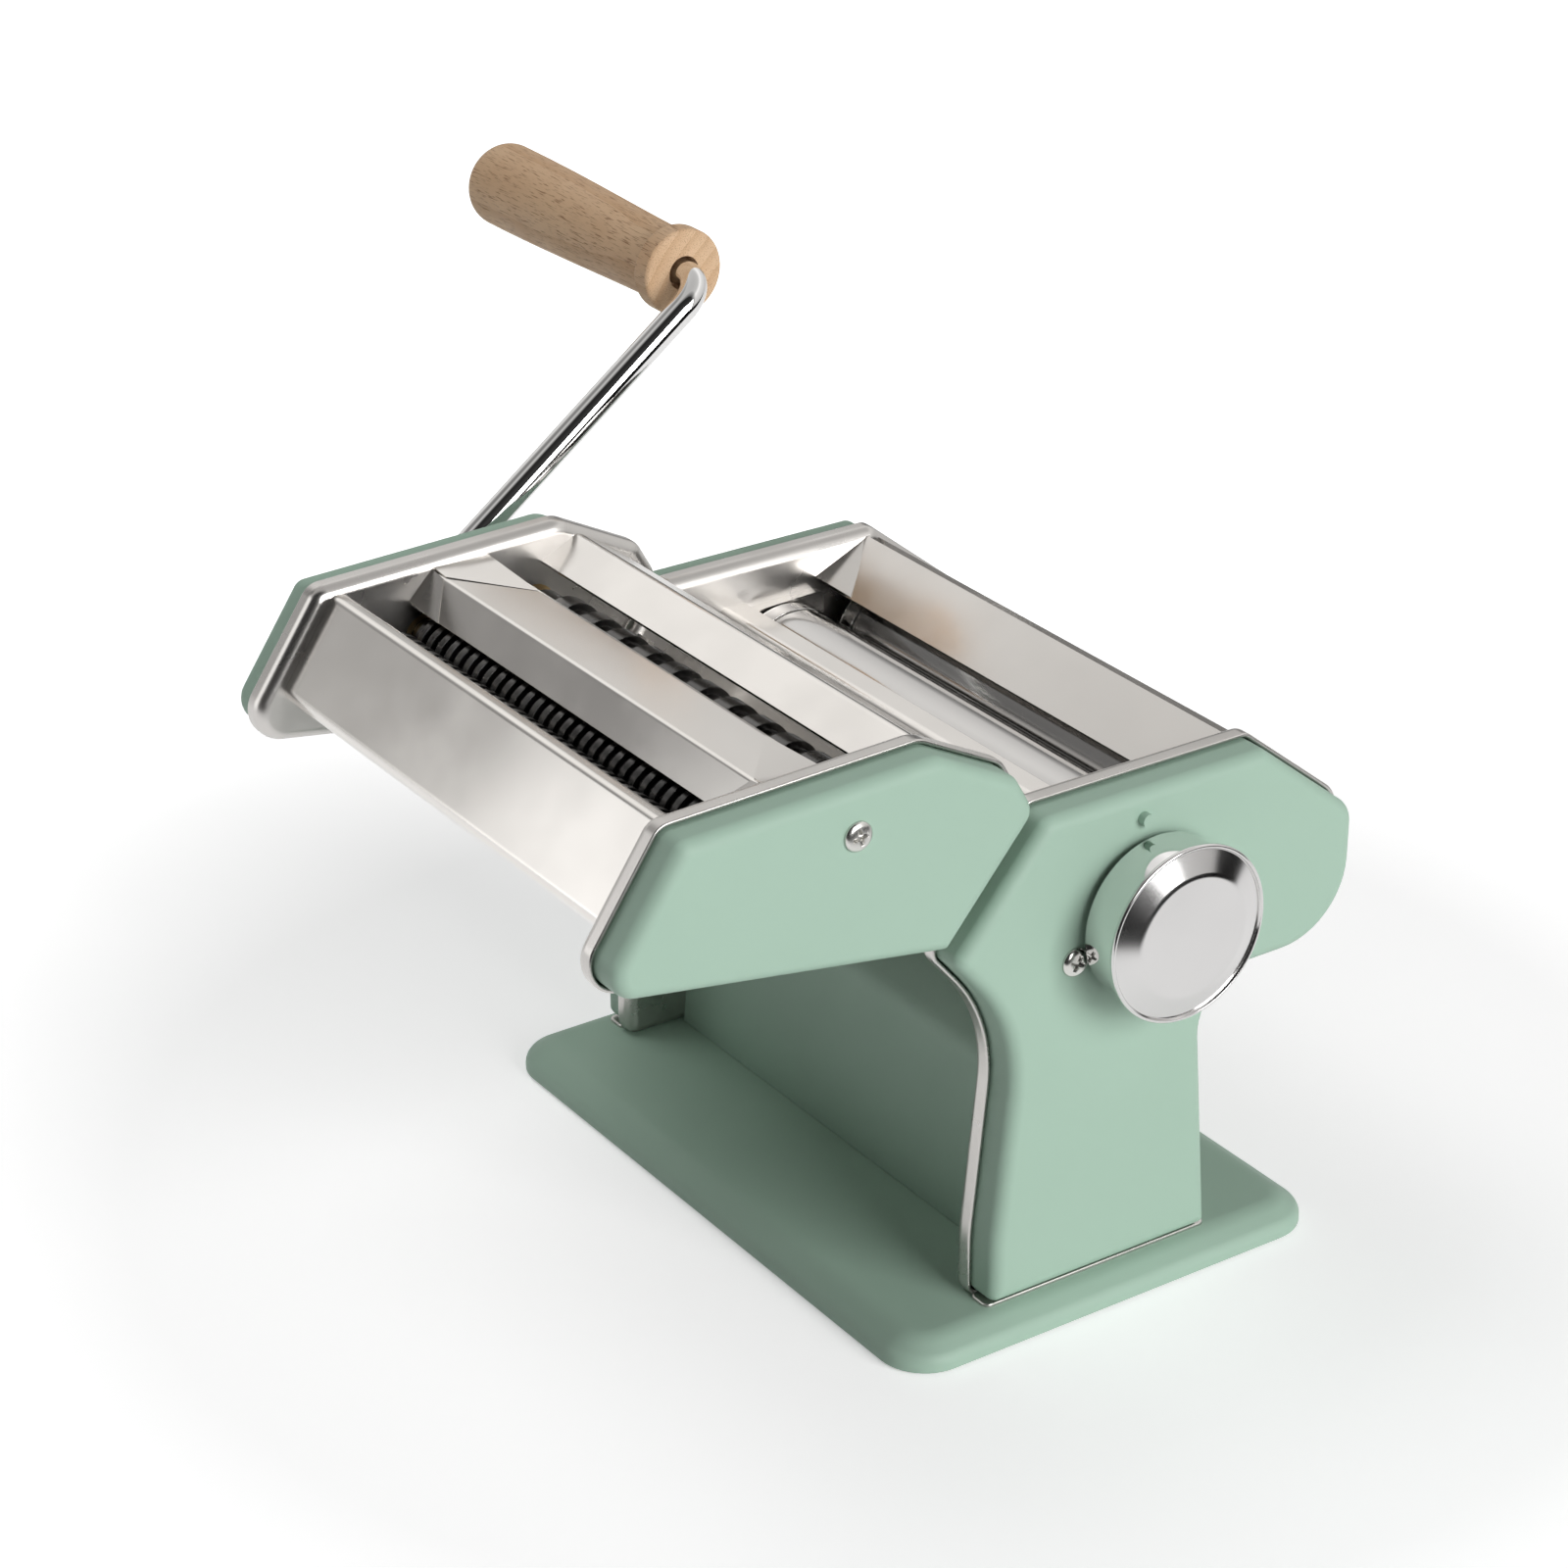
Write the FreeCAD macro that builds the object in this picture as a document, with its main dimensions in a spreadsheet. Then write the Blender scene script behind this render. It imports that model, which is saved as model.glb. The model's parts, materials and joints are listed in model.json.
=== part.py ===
import FreeCAD, Part
import math
import os
import re
from FreeCAD import Placement, Rotation, Vector

# Pasta roller machine with a lift-off noodle cutter and a pull-out crank.
# Frame: origin at the middle of the underside, X along the rollers towards the thickness knob,
# minus Y towards the cutter, Z up. Millimetres.

doc = FreeCAD.newDocument("pasta_roller_machine")

DRIVING_SIZES = [
    ("base_width", 203.4), ("base_depth", 139.0), ("base_top", 8.5), ("base_lift", 0.5),
    ("base_sheet", 1.5), ("base_corner", 14.0), ("base_bevel_run", 6.5), ("base_bevel_drop", 4.0),
    ("pad_inset", 9.0), ("base_screw_y", 22.0), ("base_screw_radius", 1.8),
    ("base_screw_head_radius", 3.6), ("base_screw_head_height", 2.4), ("screw_gap", 0.15),
    ("side_margin", 21.7), ("frame_sheet", 1.2), ("rim_depth", 7.0),
    ("cover_depth", 16.0), ("cover_wall", 1.8), ("cover_gap", 0.5),
    ("cover_bevel_run", 3.4), ("cover_bevel_drop", 3.6),
    ("column_front", 40.5), ("column_rear", 35.5), ("column_bend_z", 28.0),
    ("waist_front", 34.0), ("waist_front_z", 90.5), ("waist_rear", 29.0),
    ("head_floor", 85.5), ("head_rear", 79.4), ("head_shoulder", 124.6), ("head_top", 150.8),
    ("apex_y", 46.5), ("roof_front", 26.2), ("tip_front", 55.5), ("tip_z", 116.0),
    ("nest_gap", 1.6), ("cutter_roof_front", 134.8), ("cutter_roof_front_z", 175.3),
    ("cutter_roof_rear", 59.0), ("cutter_roof_rear_z", 177.6), ("cutter_back", 33.5),
    ("cutter_back_z", 164.5), ("cutter_nose", 161.0), ("cutter_nose_z", 136.4),
    ("roller_radius", 18.0), ("roller_play", 4.5), ("roller_nip", 0.3),
    ("roller_y", 10.5), ("roller_z", 119.5), ("groove_margin", 6.5),
    ("roller_groove_width", 1.2), ("roller_groove_depth", 0.8),
    ("axle_radius", 4.8), ("axle_gap", 0.1), ("bush_wall", 3.1), ("bush_length", 4.0),
    ("socket_radius", 3.25), ("socket_depth", 15.0), ("socket_lip", 1.5),
    ("gap_travel", 2.7), ("gap_turn", 270.0), ("block_play", 1.5), ("block_depth", 4.6),
    ("block_half", 10.0), ("block_top", 9.0), ("block_drop", 28.5), ("slot_gap", 0.8),
    ("yoke_radius", 3.0), ("yoke_drop", 23.5),
    ("gear_play", 6.8), ("gear_depth", 4.4), ("gear_teeth", 18), ("gear_addendum", 1.9),
    ("gear_dedendum", 2.5), ("gear_backlash", 0.12), ("pressure_angle", 25.0),
    ("knob_y", 7.8), ("knob_z", 114.5), ("selector_radius", 4.0), ("selector_gap", 0.1),
    ("cam_play", 7.3), ("cam_depth", 3.0), ("cam_radius", 9.0), ("pin_radius", 2.0), ("pin_gap", 0.3),
    ("bush_flange", 10.0), ("selector_bush_radius", 7.0), ("selector_flange_depth", 2.0),
    ("knob_clear", 2.4), ("knob_length", 12.6), ("knob_radius", 22.8), ("knob_wall", 1.6),
    ("knob_hub_radius", 8.5), ("knob_hub_bore", 6.6), ("knob_hub_floor", 3.0),
    ("knob_cap_radius", 24.8), ("knob_cap_rim", 1.4), ("knob_cap_bevel", 1.8),
    ("knob_cap_face", 19.5), ("knob_pull", 4.0),
    ("cover_screw_y", 16.0), ("cover_screw_z", 106.6), ("cover_screw_radius", 2.0),
    ("cover_screw_head", 4.0), ("cover_screw_rise", 1.6),
    ("index_rise", 27.3), ("index_side", 3.0), ("index_radius", 1.8), ("index_height", 2.4),
    ("tie_radius", 4.0), ("tie_neck", 2.5), ("tie_nut_radius", 5.5), ("tie_nut_depth", 3.3),
    ("panel_sheet", 1.2), ("panel_bend", 1.6),
    ("chute_front", 20.0), ("chute_fold", 15.0), ("chute_fold_z", 60.0), ("chute_sheet", 1.5),
    ("chute_bend", 6.0), ("chute_rear", 38.0), ("chute_rear_z", 97.0),
    ("strip_rear", 1.0), ("strip_front", 6.0), ("strip_z", 138.4), ("strip_skirt", 22.0),
    ("strip_skirt_z", 122.0), ("hopper_foot", 28.0), ("hopper_foot_z", 138.6),
    ("shell_inset", 1.7), ("cheek_depth", 3.4), ("cheek_floor", 130.0),
    ("scraper_gap", 3.6), ("scraper_length", 11.0),
    ("cutter_axis_z", 154.5), ("narrow_y", 118.5), ("wide_y", 84.5), ("cutter_pitch", 15.8),
    ("cutter_radius", 8.5), ("cutter_core", 6.5), ("cutter_play", 4.0),
    ("narrow_step", 4.8), ("narrow_ring", 2.2), ("wide_step", 13.0), ("wide_ring", 6.3),
    ("cutter_teeth", 12), ("cutter_addendum", 1.1), ("cutter_dedendum", 1.45),
    ("cutter_stub_radius", 3.2), ("cutter_bush_wall", 1.7), ("cutter_bush_proud", 0.6),
    ("narrow_gear_play", 3.2), ("wide_gear_play", 7.8), ("cutter_gear_depth", 3.8),
    ("front_panel_inset", 4.6), ("guide_lip", 105.9), ("guide_lip_z", 164.6),
    ("guide_ridge", 99.4), ("guide_ridge_z", 172.7), ("guide_rear", 82.2), ("guide_rear_z", 171.9),
    ("rear_guide_low", 65.5), ("rear_guide_low_z", 167.6), ("rear_guide_top", 54.0),
    ("rear_guide_top_z", 173.0), ("rear_guide_tail", 46.0), ("rear_guide_tail_z", 168.0),
    ("cutter_screw_y", 84.2), ("cutter_screw_z", 162.2),
    ("cutter_left_screw_y", 58.0), ("cutter_left_screw_z", 138.0),
    ("rail_start", 8.0), ("rail_length", 22.0), ("rail_behind", 1.5), ("rail_depth", 2.5),
    ("rail_width", 5.5), ("hook_gap", 0.3), ("hook_wall", 3.2), ("hook_trim", 2.0),
    ("crank_radius", 4.0), ("crank_tip_gap", 0.25), ("crank_offset", 13.0), ("crank_bend", 10.0),
    ("crank_arm", 115.6), ("crank_angle", 37.3), ("crank_tip_short", 1.0),
    ("grip_offset", 11.0), ("grip_length", 105.0), ("grip_radius", 12.4), ("grip_waist", 10.8),
    ("grip_rim", 12.8), ("grip_bore_gap", 0.3), ("grip_recess_radius", 6.2), ("grip_recess", 6.0),
    ("grip_end_wall", 10.0),
    ("foot_round", 4.0), ("waist_rear_round", 14.0), ("heel_round", 24.0), ("shoulder_round", 10.0),
    ("apex_round", 5.0), ("roof_round", 7.0), ("tip_round", 5.0), ("waist_front_round", 46.0),
    ("column_round", 60.0), ("cutter_tip_start", 3.0), ("cutter_roof_past", 1.0),
    ("cutter_tip_round", 4.0), ("cutter_back_round", 7.0), ("cutter_rear_round", 10.0),
    ("cutter_brow_round", 6.0), ("cutter_nose_round", 9.0),
    ("low_tie_y", 10.0), ("low_tie_z", 30.0), ("high_tie_y", 67.8), ("high_tie_z", 103.6),
    ("front_tie_y", 93.6), ("front_tie_z", 139.5), ("back_tie_y", 47.0), ("back_tie_z", 156.0),
    ("head_hole_gap", 1.0), ("apex_gap", 1.0), ("shell_apex_gap", 1.5), ("shell_apex_drop", 1.2),
    ("shell_floor_run", 18.0), ("shell_heel_cut", 12.5), ("cheek_front", 3.0), ("cheek_rear_gap", 2.0),
    ("cheek_rear_drop", 1.0), ("cheek_front_drop", 2.0), ("cheek_round", 2.0), ("blade_gap", 0.72),
    ("front_blade_angle", 215.0), ("rear_blade_angle", 300.0), ("narrow_blade_angle", 217.0),
    ("wide_blade_angle", 323.0), ("axle_short", 0.3), ("gear_bore_gap", 0.045), ("block_round", 3.0),
    ("tab_reach", 3.5), ("tab_half", 4.0), ("tab_round", 2.0), ("tab_overlap", 1.0),
    ("cam_sweep", 310.0), ("cam_lead", 20.0), ("hub_recess", 1.0), ("cap_step", 1.2),
    ("retainer_depth", 1.8), ("nose_fold", 9.0), ("nose_flap", 9.0), ("nose_flap_drop", 3.5),
    ("lip_trim", 0.5), ("lip_run", 4.5), ("lip_dip", 0.6), ("lip_end", 5.2), ("lip_drop", 4.0),
    ("tight_bend", 0.8), ("guide_hem_run", 2.0), ("guide_hem_drop", 6.0), ("rod_gap", 0.5),
    ("bead_ease", 1.2), ("bead_end", 6.5), ("bead_foot", 8.5), ("waist_end", 13.0),
    ("axle_hole_gap", 0.6),
]

DERIVED_SIZES = [
    ("web_x", "base_width / 2 - side_margin"), ("rim_x", "web_x + rim_depth"),
    ("cover_x", "web_x + cover_depth"), ("roller_half", "web_x - roller_play"),
    ("roller_groove_x", "roller_half - groove_margin"), ("block_x", "web_x + block_play"),
    ("gear_x", "web_x + gear_play"), ("cam_x", "web_x + cam_play"),
    ("cutter_half", "web_x - cutter_play"), ("narrow_gear_x", "web_x + narrow_gear_play"),
    ("wide_gear_x", "web_x + wide_gear_play"), ("crank_plane", "cover_x + crank_offset"),
    ("grip_start", "crank_plane + grip_offset"),
]

sheet = doc.addObject("Spreadsheet::Sheet", "Sizes")
for row, (alias, value) in enumerate(DRIVING_SIZES, start=1):
    sheet.set(f"A{row}", alias)
    sheet.set(f"B{row}", str(value))
    sheet.setAlias(f"B{row}", alias)
for row, (alias, formula) in enumerate(DERIVED_SIZES, start=len(DRIVING_SIZES) + 1):
    sheet.set(f"A{row}", alias)
    sheet.set(f"B{row}", "=" + formula)
    sheet.setAlias(f"B{row}", alias)
doc.recompute()


def size(alias):
    """The present value of one cell of the sheet."""
    return float(sheet.get(alias))


def bound(text):
    """An expression in plain aliases, with each alias pointed at its cell."""
    return re.sub(r"[A-Za-z_]\w*", lambda word: "Sizes." + word.group(0), text)


def other_side(text, side):
    """An X expression for the right side (1) or its mirror image (-1)."""
    return text if side > 0 else f"-({text})"


# Outlines

def rounded(corners):
    """Closed outline through (u, v, radius) corners: straight runs joined by tangent arcs."""
    count = len(corners)
    arrive, leave, middle = [], [], []
    for index, (u, v, radius) in enumerate(corners):
        here = Vector(u, v, 0)
        back = (Vector(*corners[index - 1][:2], 0) - here).normalize()
        ahead = (Vector(*corners[(index + 1) % count][:2], 0) - here).normalize()
        half = back.getAngle(ahead) / 2
        inward = (back + ahead).normalize() if radius else Vector()
        reach = radius / math.tan(half) if radius else 0
        arrive.append(here + back * reach)
        leave.append(here + ahead * reach)
        middle.append(here + inward * (radius / math.sin(half) - radius) if radius else here)
    edges = []
    for index, corner in enumerate(corners):
        if corner[2]:
            edges.append(Part.Arc(arrive[index], middle[index], leave[index]))
        edges.append(Part.LineSegment(leave[index], arrive[(index + 1) % count]))
    return edges


def inset(corners, gap, least=0.5):
    """The outline moved inwards by gap. Corners run anticlockwise; hollow corners widen."""
    moved = []
    for index, (u, v, radius) in enumerate(corners):
        before = Vector(*corners[index - 1][:2], 0)
        after = Vector(*corners[(index + 1) % len(corners)][:2], 0)
        here = Vector(u, v, 0)
        come = (here - before).normalize()
        go = (after - here).normalize()
        left_come = Vector(-come.y, come.x, 0)
        left_go = Vector(-go.y, go.x, 0)
        here = here + (left_come + left_go) * (gap / (1 + left_come.dot(left_go)))
        hollow = come.cross(go).z < 0
        moved.append((here.x, here.y, radius + gap if hollow else max(radius - gap, least)))
    return moved


def thicken(points, thickness, bend):
    """Corners of a folded sheet: a line of points and its copy to the left by thickness."""
    sides = []
    for index, (u, v) in enumerate(points):
        here = Vector(u, v, 0)
        come = here - Vector(*points[index - 1], 0) if index else None
        go = Vector(*points[index + 1], 0) - here if index + 1 < len(points) else None
        come = (come or go).normalize()
        go = go.normalize() if go else come
        left_come = Vector(-come.y, come.x, 0)
        left_go = Vector(-go.y, go.x, 0)
        shift = (left_come + left_go) * (thickness / (1 + left_come.dot(left_go)))
        turn = come.cross(go).z
        line_inside = (turn > 0) == (thickness < 0)
        radii = (bend, bend + abs(thickness)) if line_inside else (bend + abs(thickness), bend)
        ends = index in (0, len(points) - 1)
        sides.append((here, here + shift, (0, 0) if ends else radii))
    line = [(here.x, here.y, radii[0]) for here, _, radii in sides]
    copy = [(there.x, there.y, radii[1]) for _, there, radii in reversed(sides)]
    return line + copy


def ring_edges(u, v, radius):
    """One round hole of an outline."""
    return [Part.Circle(Vector(u, v, 0), Vector(0, 0, 1), radius)]


def slot_edges(u, v, half, travel):
    """A slot round a bar of the given half width that moves by travel towards minus u."""
    low, high = u - travel - half, u + half
    corner = half * 0.8
    return rounded([(low, v - half, corner), (high, v - half, corner),
                    (high, v + half, corner), (low, v + half, corner)])


def tooth_outline(teeth, pitch_radius, addendum, dedendum, phase):
    """Involute gear outline. Phase 0 has a tooth on the plus Y side, 0.5 a gap."""
    pressure = math.radians(size("pressure_angle"))
    base = pitch_radius * math.cos(pressure)
    tip, root = pitch_radius + addendum, pitch_radius - dedendum
    half_at_pitch = math.pi / (2 * teeth) * (1 - size("gear_backlash"))

    def half_angle(radius):
        angle = math.acos(min(1.0, base / radius))
        return half_at_pitch + math.tan(pressure) - pressure - (math.tan(angle) - angle)

    flank = [max(base, root) + (tip - max(base, root)) * step / 4 for step in range(5)]
    corners = []
    for tooth in range(teeth):
        middle = 2 * math.pi * (tooth + phase) / teeth
        rising = [(root, -half_angle(flank[0]))] + [(r, -half_angle(r)) for r in flank]
        for radius, angle in rising + [(r, -a) for r, a in reversed(rising)]:
            corners.append((radius * math.cos(middle + angle), radius * math.sin(middle + angle), 0))
    return rounded(corners)


# Ways of making a sub-part

def place(feature, y, z):
    """Bind a sub-part's place across the machine to the sheet."""
    feature.setExpression("Placement.Base.y", bound(y))
    feature.setExpression("Placement.Base.z", bound(z))


def sketch_on(body, role, offset, edges):
    """A sketch on one of the body's own planes, moved along the plane's normal."""
    plane = [item for item in body.Origin.OriginFeatures if item.Role == role][0]
    sketch = body.newObject("Sketcher::SketchObject", body.Name + "_sketch")
    sketch.AttachmentSupport = (plane, [""])
    sketch.MapMode = "FlatFace"
    sketch.setExpression("AttachmentOffset.Base.z", bound(offset))
    sketch.addGeometry(edges)
    return sketch


def new_body(label):
    """An empty body whose label is its file name."""
    body = doc.addObject("PartDesign::Body", label)
    body.Label = label
    return body


def add_pad(body, loops, start, length, role="YZ_Plane"):
    """Pad the loops (outline first, then holes) from start along the plane's normal."""
    pad = body.newObject("PartDesign::Pad", body.Name + "_pad")
    pad.Profile = sketch_on(body, role, start, [edge for loop in loops for edge in loop])
    pad.setExpression("Length", bound(length))
    doc.recompute()
    return body


def plate(label, loops, start, length, role="YZ_Plane"):
    """A sub-part of one thickness."""
    return add_pad(new_body(label), loops, start, length, role)


def across(label, corners, half="web_x"):
    """A sheet or bar that spans the machine from web to web."""
    return plate(label, [rounded(corners)], f"-({half})", f"2 * ({half})")


def turned(label, profile, y=None, z=None):
    """A sub-part turned about an axis along X, from a closed (x, radius) profile."""
    body = new_body(label)
    turn = body.newObject("PartDesign::Revolution", label + "_turn")
    turn.Profile = sketch_on(body, "XY_Plane", "0", rounded([(x, r, 0) for x, r in profile]))
    turn.ReferenceAxis = (turn.Profile[0], ["H_Axis"])
    turn.Angle = 360
    if y:
        place(body, y, z)
    doc.recompute()
    return body


def pressed_shell(label, corners, stations, bevel, wall, holes, role, side=1):
    """A pressed cover: straight skirt, bevel and flat face, hollow from its open edge."""
    body = new_body(label)
    start, shoulder, top = stations
    inner_top = f"({top}) - {wall}"
    thickness = size(wall)
    skins = [("PartDesign::AdditiveLoft", 0.0, top), ("PartDesign::SubtractiveLoft", thickness, inner_top)]
    for kind, shrink, face in skins:
        sections = [(start, shrink), (shoulder, shrink), (face, size(bevel) + shrink * 0.6)]
        sketches = [sketch_on(body, role, other_side(at, side), rounded(inset(corners, gap)))
                    for at, gap in sections]
        loft = body.newObject(kind, label + "_skin")
        loft.Profile = sketches[0]
        loft.Sections = sketches[1:]
        loft.Ruled = True
        doc.recompute()
    if holes:
        pocket = body.newObject("PartDesign::Pocket", label + "_holes")
        pocket.Profile = sketch_on(body, role, other_side(top, side), [e for hole in holes for e in hole])
        pocket.Type = "ThroughAll"
        pocket.Reversed = side < 0
        doc.recompute()
    return body


def pan(label, corners, side, holes):
    """A pressed side frame: flat web with its holes and a rim turned outwards."""
    body = new_body(label)
    web = "web_x" if side > 0 else "-(web_x + frame_sheet)"
    rim = "web_x + frame_sheet" if side > 0 else "-rim_x"
    add_pad(body, [rounded(corners)] + holes, web, "frame_sheet")
    wall = [rounded(corners), rounded(inset(corners, size("frame_sheet")))]
    return add_pad(body, wall, rim, "rim_x - web_x - frame_sheet")


def bar(name, radius, start, length, y, z):
    """A round bar along X between two stations."""
    cylinder = doc.addObject("Part::Cylinder", name)
    cylinder.setExpression("Radius", bound(radius))
    cylinder.setExpression("Height", bound(length))
    cylinder.Placement = Placement(Vector(), Rotation(Vector(0, 1, 0), 90))
    cylinder.setExpression("Placement.Base.x", bound(start))
    place(cylinder, y, z)
    return cylinder


def joined(kind, name, base, tool):
    """A cut or a fuse of two solids."""
    result = doc.addObject(kind, name)
    result.Base, result.Tool = base, tool
    return result


def sleeve(name, outer, inner, start, length, y, z):
    """A plain bush."""
    return joined("Part::Cut", name, bar(name + "_outside", outer, start, length, y, z),
                  bar(name + "_bore", inner, start, length, y, z))


def group(label, members):
    """Identical pieces in one node, each still a solid of its own."""
    compound = doc.addObject("Part::Compound", label)
    compound.Label = label
    compound.Links = members
    return compound


nodes = []

# Outlines of the two housings, anticlockwise seen from plus X

main_tip = (-size("tip_front"), size("tip_z"))
main_roof = (-size("roof_front"), size("head_top"))
MAIN_OUTLINE = [
    (-size("column_front"), size("base_top"), size("foot_round")),
    (size("column_rear"), size("base_top"), size("foot_round")),
    (size("waist_rear"), size("head_floor"), size("waist_rear_round")),
    (size("head_rear"), size("head_floor"), size("heel_round")),
    (size("head_rear"), size("head_shoulder"), size("shoulder_round")),
    (size("apex_y"), size("head_top"), size("apex_round")),
    (*main_roof, size("roof_round")), (*main_tip, size("tip_round")),
    (-size("waist_front"), size("waist_front_z"), size("waist_front_round")),
    (-size("column_front"), size("column_bend_z"), size("column_round")),
]
edge_run = Vector(main_roof[0] - main_tip[0], main_roof[1] - main_tip[1], 0)
edge_way = Vector(edge_run).normalize()
edge_out = Vector(-edge_way.y, edge_way.x, 0)


def beside_edge(along, out):
    """A point by the head's sloping front edge: along it from the tip, and out from it."""
    point = Vector(*main_tip, 0) + edge_way * along + edge_out * out
    return point.x, point.y


CUTTER_OUTLINE = [
    (*beside_edge(size("cutter_tip_start"), size("nest_gap")), size("cutter_tip_round")),
    (*beside_edge(edge_run.Length + size("cutter_roof_past"), size("nest_gap")), size("cutter_back_round")),
    (-size("cutter_back"), size("cutter_back_z"), size("cutter_back_round")),
    (-size("cutter_roof_rear"), size("cutter_roof_rear_z"), size("cutter_rear_round")),
    (-size("cutter_roof_front"), size("cutter_roof_front_z"), size("cutter_brow_round")),
    (-size("cutter_nose"), size("cutter_nose_z"), size("cutter_nose_round")),
]

# Axes that several pieces share

roller_z = size("roller_z")
front_y = size("roller_y")
rear_y = front_y + 2 * size("roller_radius") + size("roller_nip")
rear_at = ("roller_y + 2 * roller_radius + roller_nip", "roller_z")
front_at = ("roller_y", "roller_z")
knob_at = ("knob_y", "knob_z")
cutter_z = size("cutter_axis_z")
cutter_axes = {
    "narrow_front": "-narrow_y", "narrow_rear": "-narrow_y + cutter_pitch",
    "wide_front": "-wide_y", "wide_rear": "-wide_y + cutter_pitch",
}
cutter_y = {
    "narrow_front": -size("narrow_y"), "narrow_rear": -size("narrow_y") + size("cutter_pitch"),
    "wide_front": -size("wide_y"), "wide_rear": -size("wide_y") + size("cutter_pitch"),
}
bush_radius = size("axle_radius") + size("axle_gap") + size("bush_wall")
TIE_RODS = [(size("low_tie_y"), size("low_tie_z")), (size("high_tie_y"), size("high_tie_z"))]
CUTTER_TIES = [(-size("front_tie_y"), size("front_tie_z")), (-size("back_tie_y"), size("back_tie_z"))]
hole_radius = size("axle_radius") + size("axle_hole_gap")

# Base

half_w, half_d = size("base_width") / 2, size("base_depth") / 2
corner = size("base_corner")
BASE_OUTLINE = [(-half_w, -half_d, corner), (half_w, -half_d, corner),
                (half_w, half_d, corner), (-half_w, half_d, corner)]
flange_x = (size("web_x") + size("frame_sheet") + size("rim_x")) / 2
screw_spots = [(sx * flange_x, sy * size("base_screw_y")) for sx in (-1, 1) for sy in (-1, 1)]
nodes.append(pressed_shell(
    "base_tray", BASE_OUTLINE, ("base_lift", "base_top - base_bevel_drop", "base_top"),
    "base_bevel_run", "base_sheet",
    [ring_edges(x, y, size("base_screw_radius") + size("screw_gap")) for x, y in screw_spots], "XY_Plane"))
head_holes = [ring_edges(x, y, size("base_screw_head_radius") + size("head_hole_gap")) for x, y in screw_spots]
nodes.append(plate("non_slip_pad", [rounded(inset(BASE_OUTLINE, size("pad_inset")))] + head_holes,
                   "0", "base_top - base_sheet", "XY_Plane"))

base_screws = []
for number, (x, y) in enumerate(screw_spots):
    shank = doc.addObject("Part::Cylinder", f"base_screw_shank_{number}")
    shank.setExpression("Radius", bound("base_screw_radius"))
    shank.setExpression("Height", bound("base_sheet + frame_sheet"))
    shank.Placement = Placement(Vector(x, y, size("base_top") - size("base_sheet")), Rotation())
    head = doc.addObject("Part::Cylinder", f"base_screw_head_{number}")
    head.setExpression("Radius", bound("base_screw_head_radius"))
    head.setExpression("Height", bound("base_screw_head_height"))
    drop = size("base_sheet") + size("base_screw_head_height")
    head.Placement = Placement(Vector(x, y, size("base_top") - drop), Rotation())
    base_screws.append(joined("Part::Fuse", f"base_screw_{number}", head, shank))
nodes.append(group("base_screws", base_screws))

# Side frames and covers of the main housing

cover_start = "web_x + frame_sheet"
cover_stations = (cover_start, "cover_x - cover_bevel_drop", "cover_x")
cover_inset = size("frame_sheet") + size("cover_gap")
screw_hole = size("cover_screw_radius") + size("screw_gap")
main_screw = (-size("cover_screw_y"), size("cover_screw_z"))
axle_slot = slot_edges(front_y, roller_z, size("axle_radius") + size("slot_gap"), size("gap_travel"))
yoke_slot = slot_edges(front_y, roller_z - size("yoke_drop"), size("yoke_radius") + size("slot_gap"),
                       size("gap_travel"))
main_holes = [axle_slot, yoke_slot, ring_edges(rear_y, roller_z, bush_radius),
              ring_edges(*main_screw, screw_hole)]
main_holes += [ring_edges(y, z, size("tie_neck")) for y, z in TIE_RODS]
main_cover_holes = {
    1: [ring_edges(size("knob_y"), size("knob_z"), size("selector_bush_radius")),
        ring_edges(*main_screw, screw_hole),
        ring_edges(size("knob_y") - size("index_side"), size("knob_z") + size("index_rise"),
                   size("index_radius"))],
    -1: [ring_edges(rear_y, roller_z, hole_radius), ring_edges(*main_screw, screw_hole)],
}


def drilled_pan(label, corners, side, holes):
    """A main side frame, with the base screws' holes through its foot flange."""
    cut = pan(label + "_blank", corners, side, holes)
    for number, spot in enumerate((-1, 1)):
        drill = doc.addObject("Part::Cylinder", f"{label}_drill_{number}")
        drill.setExpression("Radius", bound("base_screw_radius + screw_gap"))
        drill.setExpression("Height", bound("2 * frame_sheet"))
        drill.Placement = Placement(
            Vector(side * flange_x, spot * size("base_screw_y"), size("base_top") - size("frame_sheet")),
            Rotation())
        last = label if number else label + "_first_cut"
        cut = joined("Part::Cut", last, cut, drill)
    cut.Label = label
    return cut


for side, word in ((-1, "left"), (1, "right")):
    nodes.append(drilled_pan(f"{word}_side_frame", MAIN_OUTLINE, side, main_holes))
    nodes.append(pressed_shell(f"{word}_side_cover", inset(MAIN_OUTLINE, cover_inset), cover_stations,
                               "cover_bevel_run", "cover_wall", main_cover_holes[side], "YZ_Plane", side))


def y_value(text):
    """The present value of a plain alias, with or without a minus sign."""
    return -size(text[1:]) if text.startswith("-") else size(text)


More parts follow.
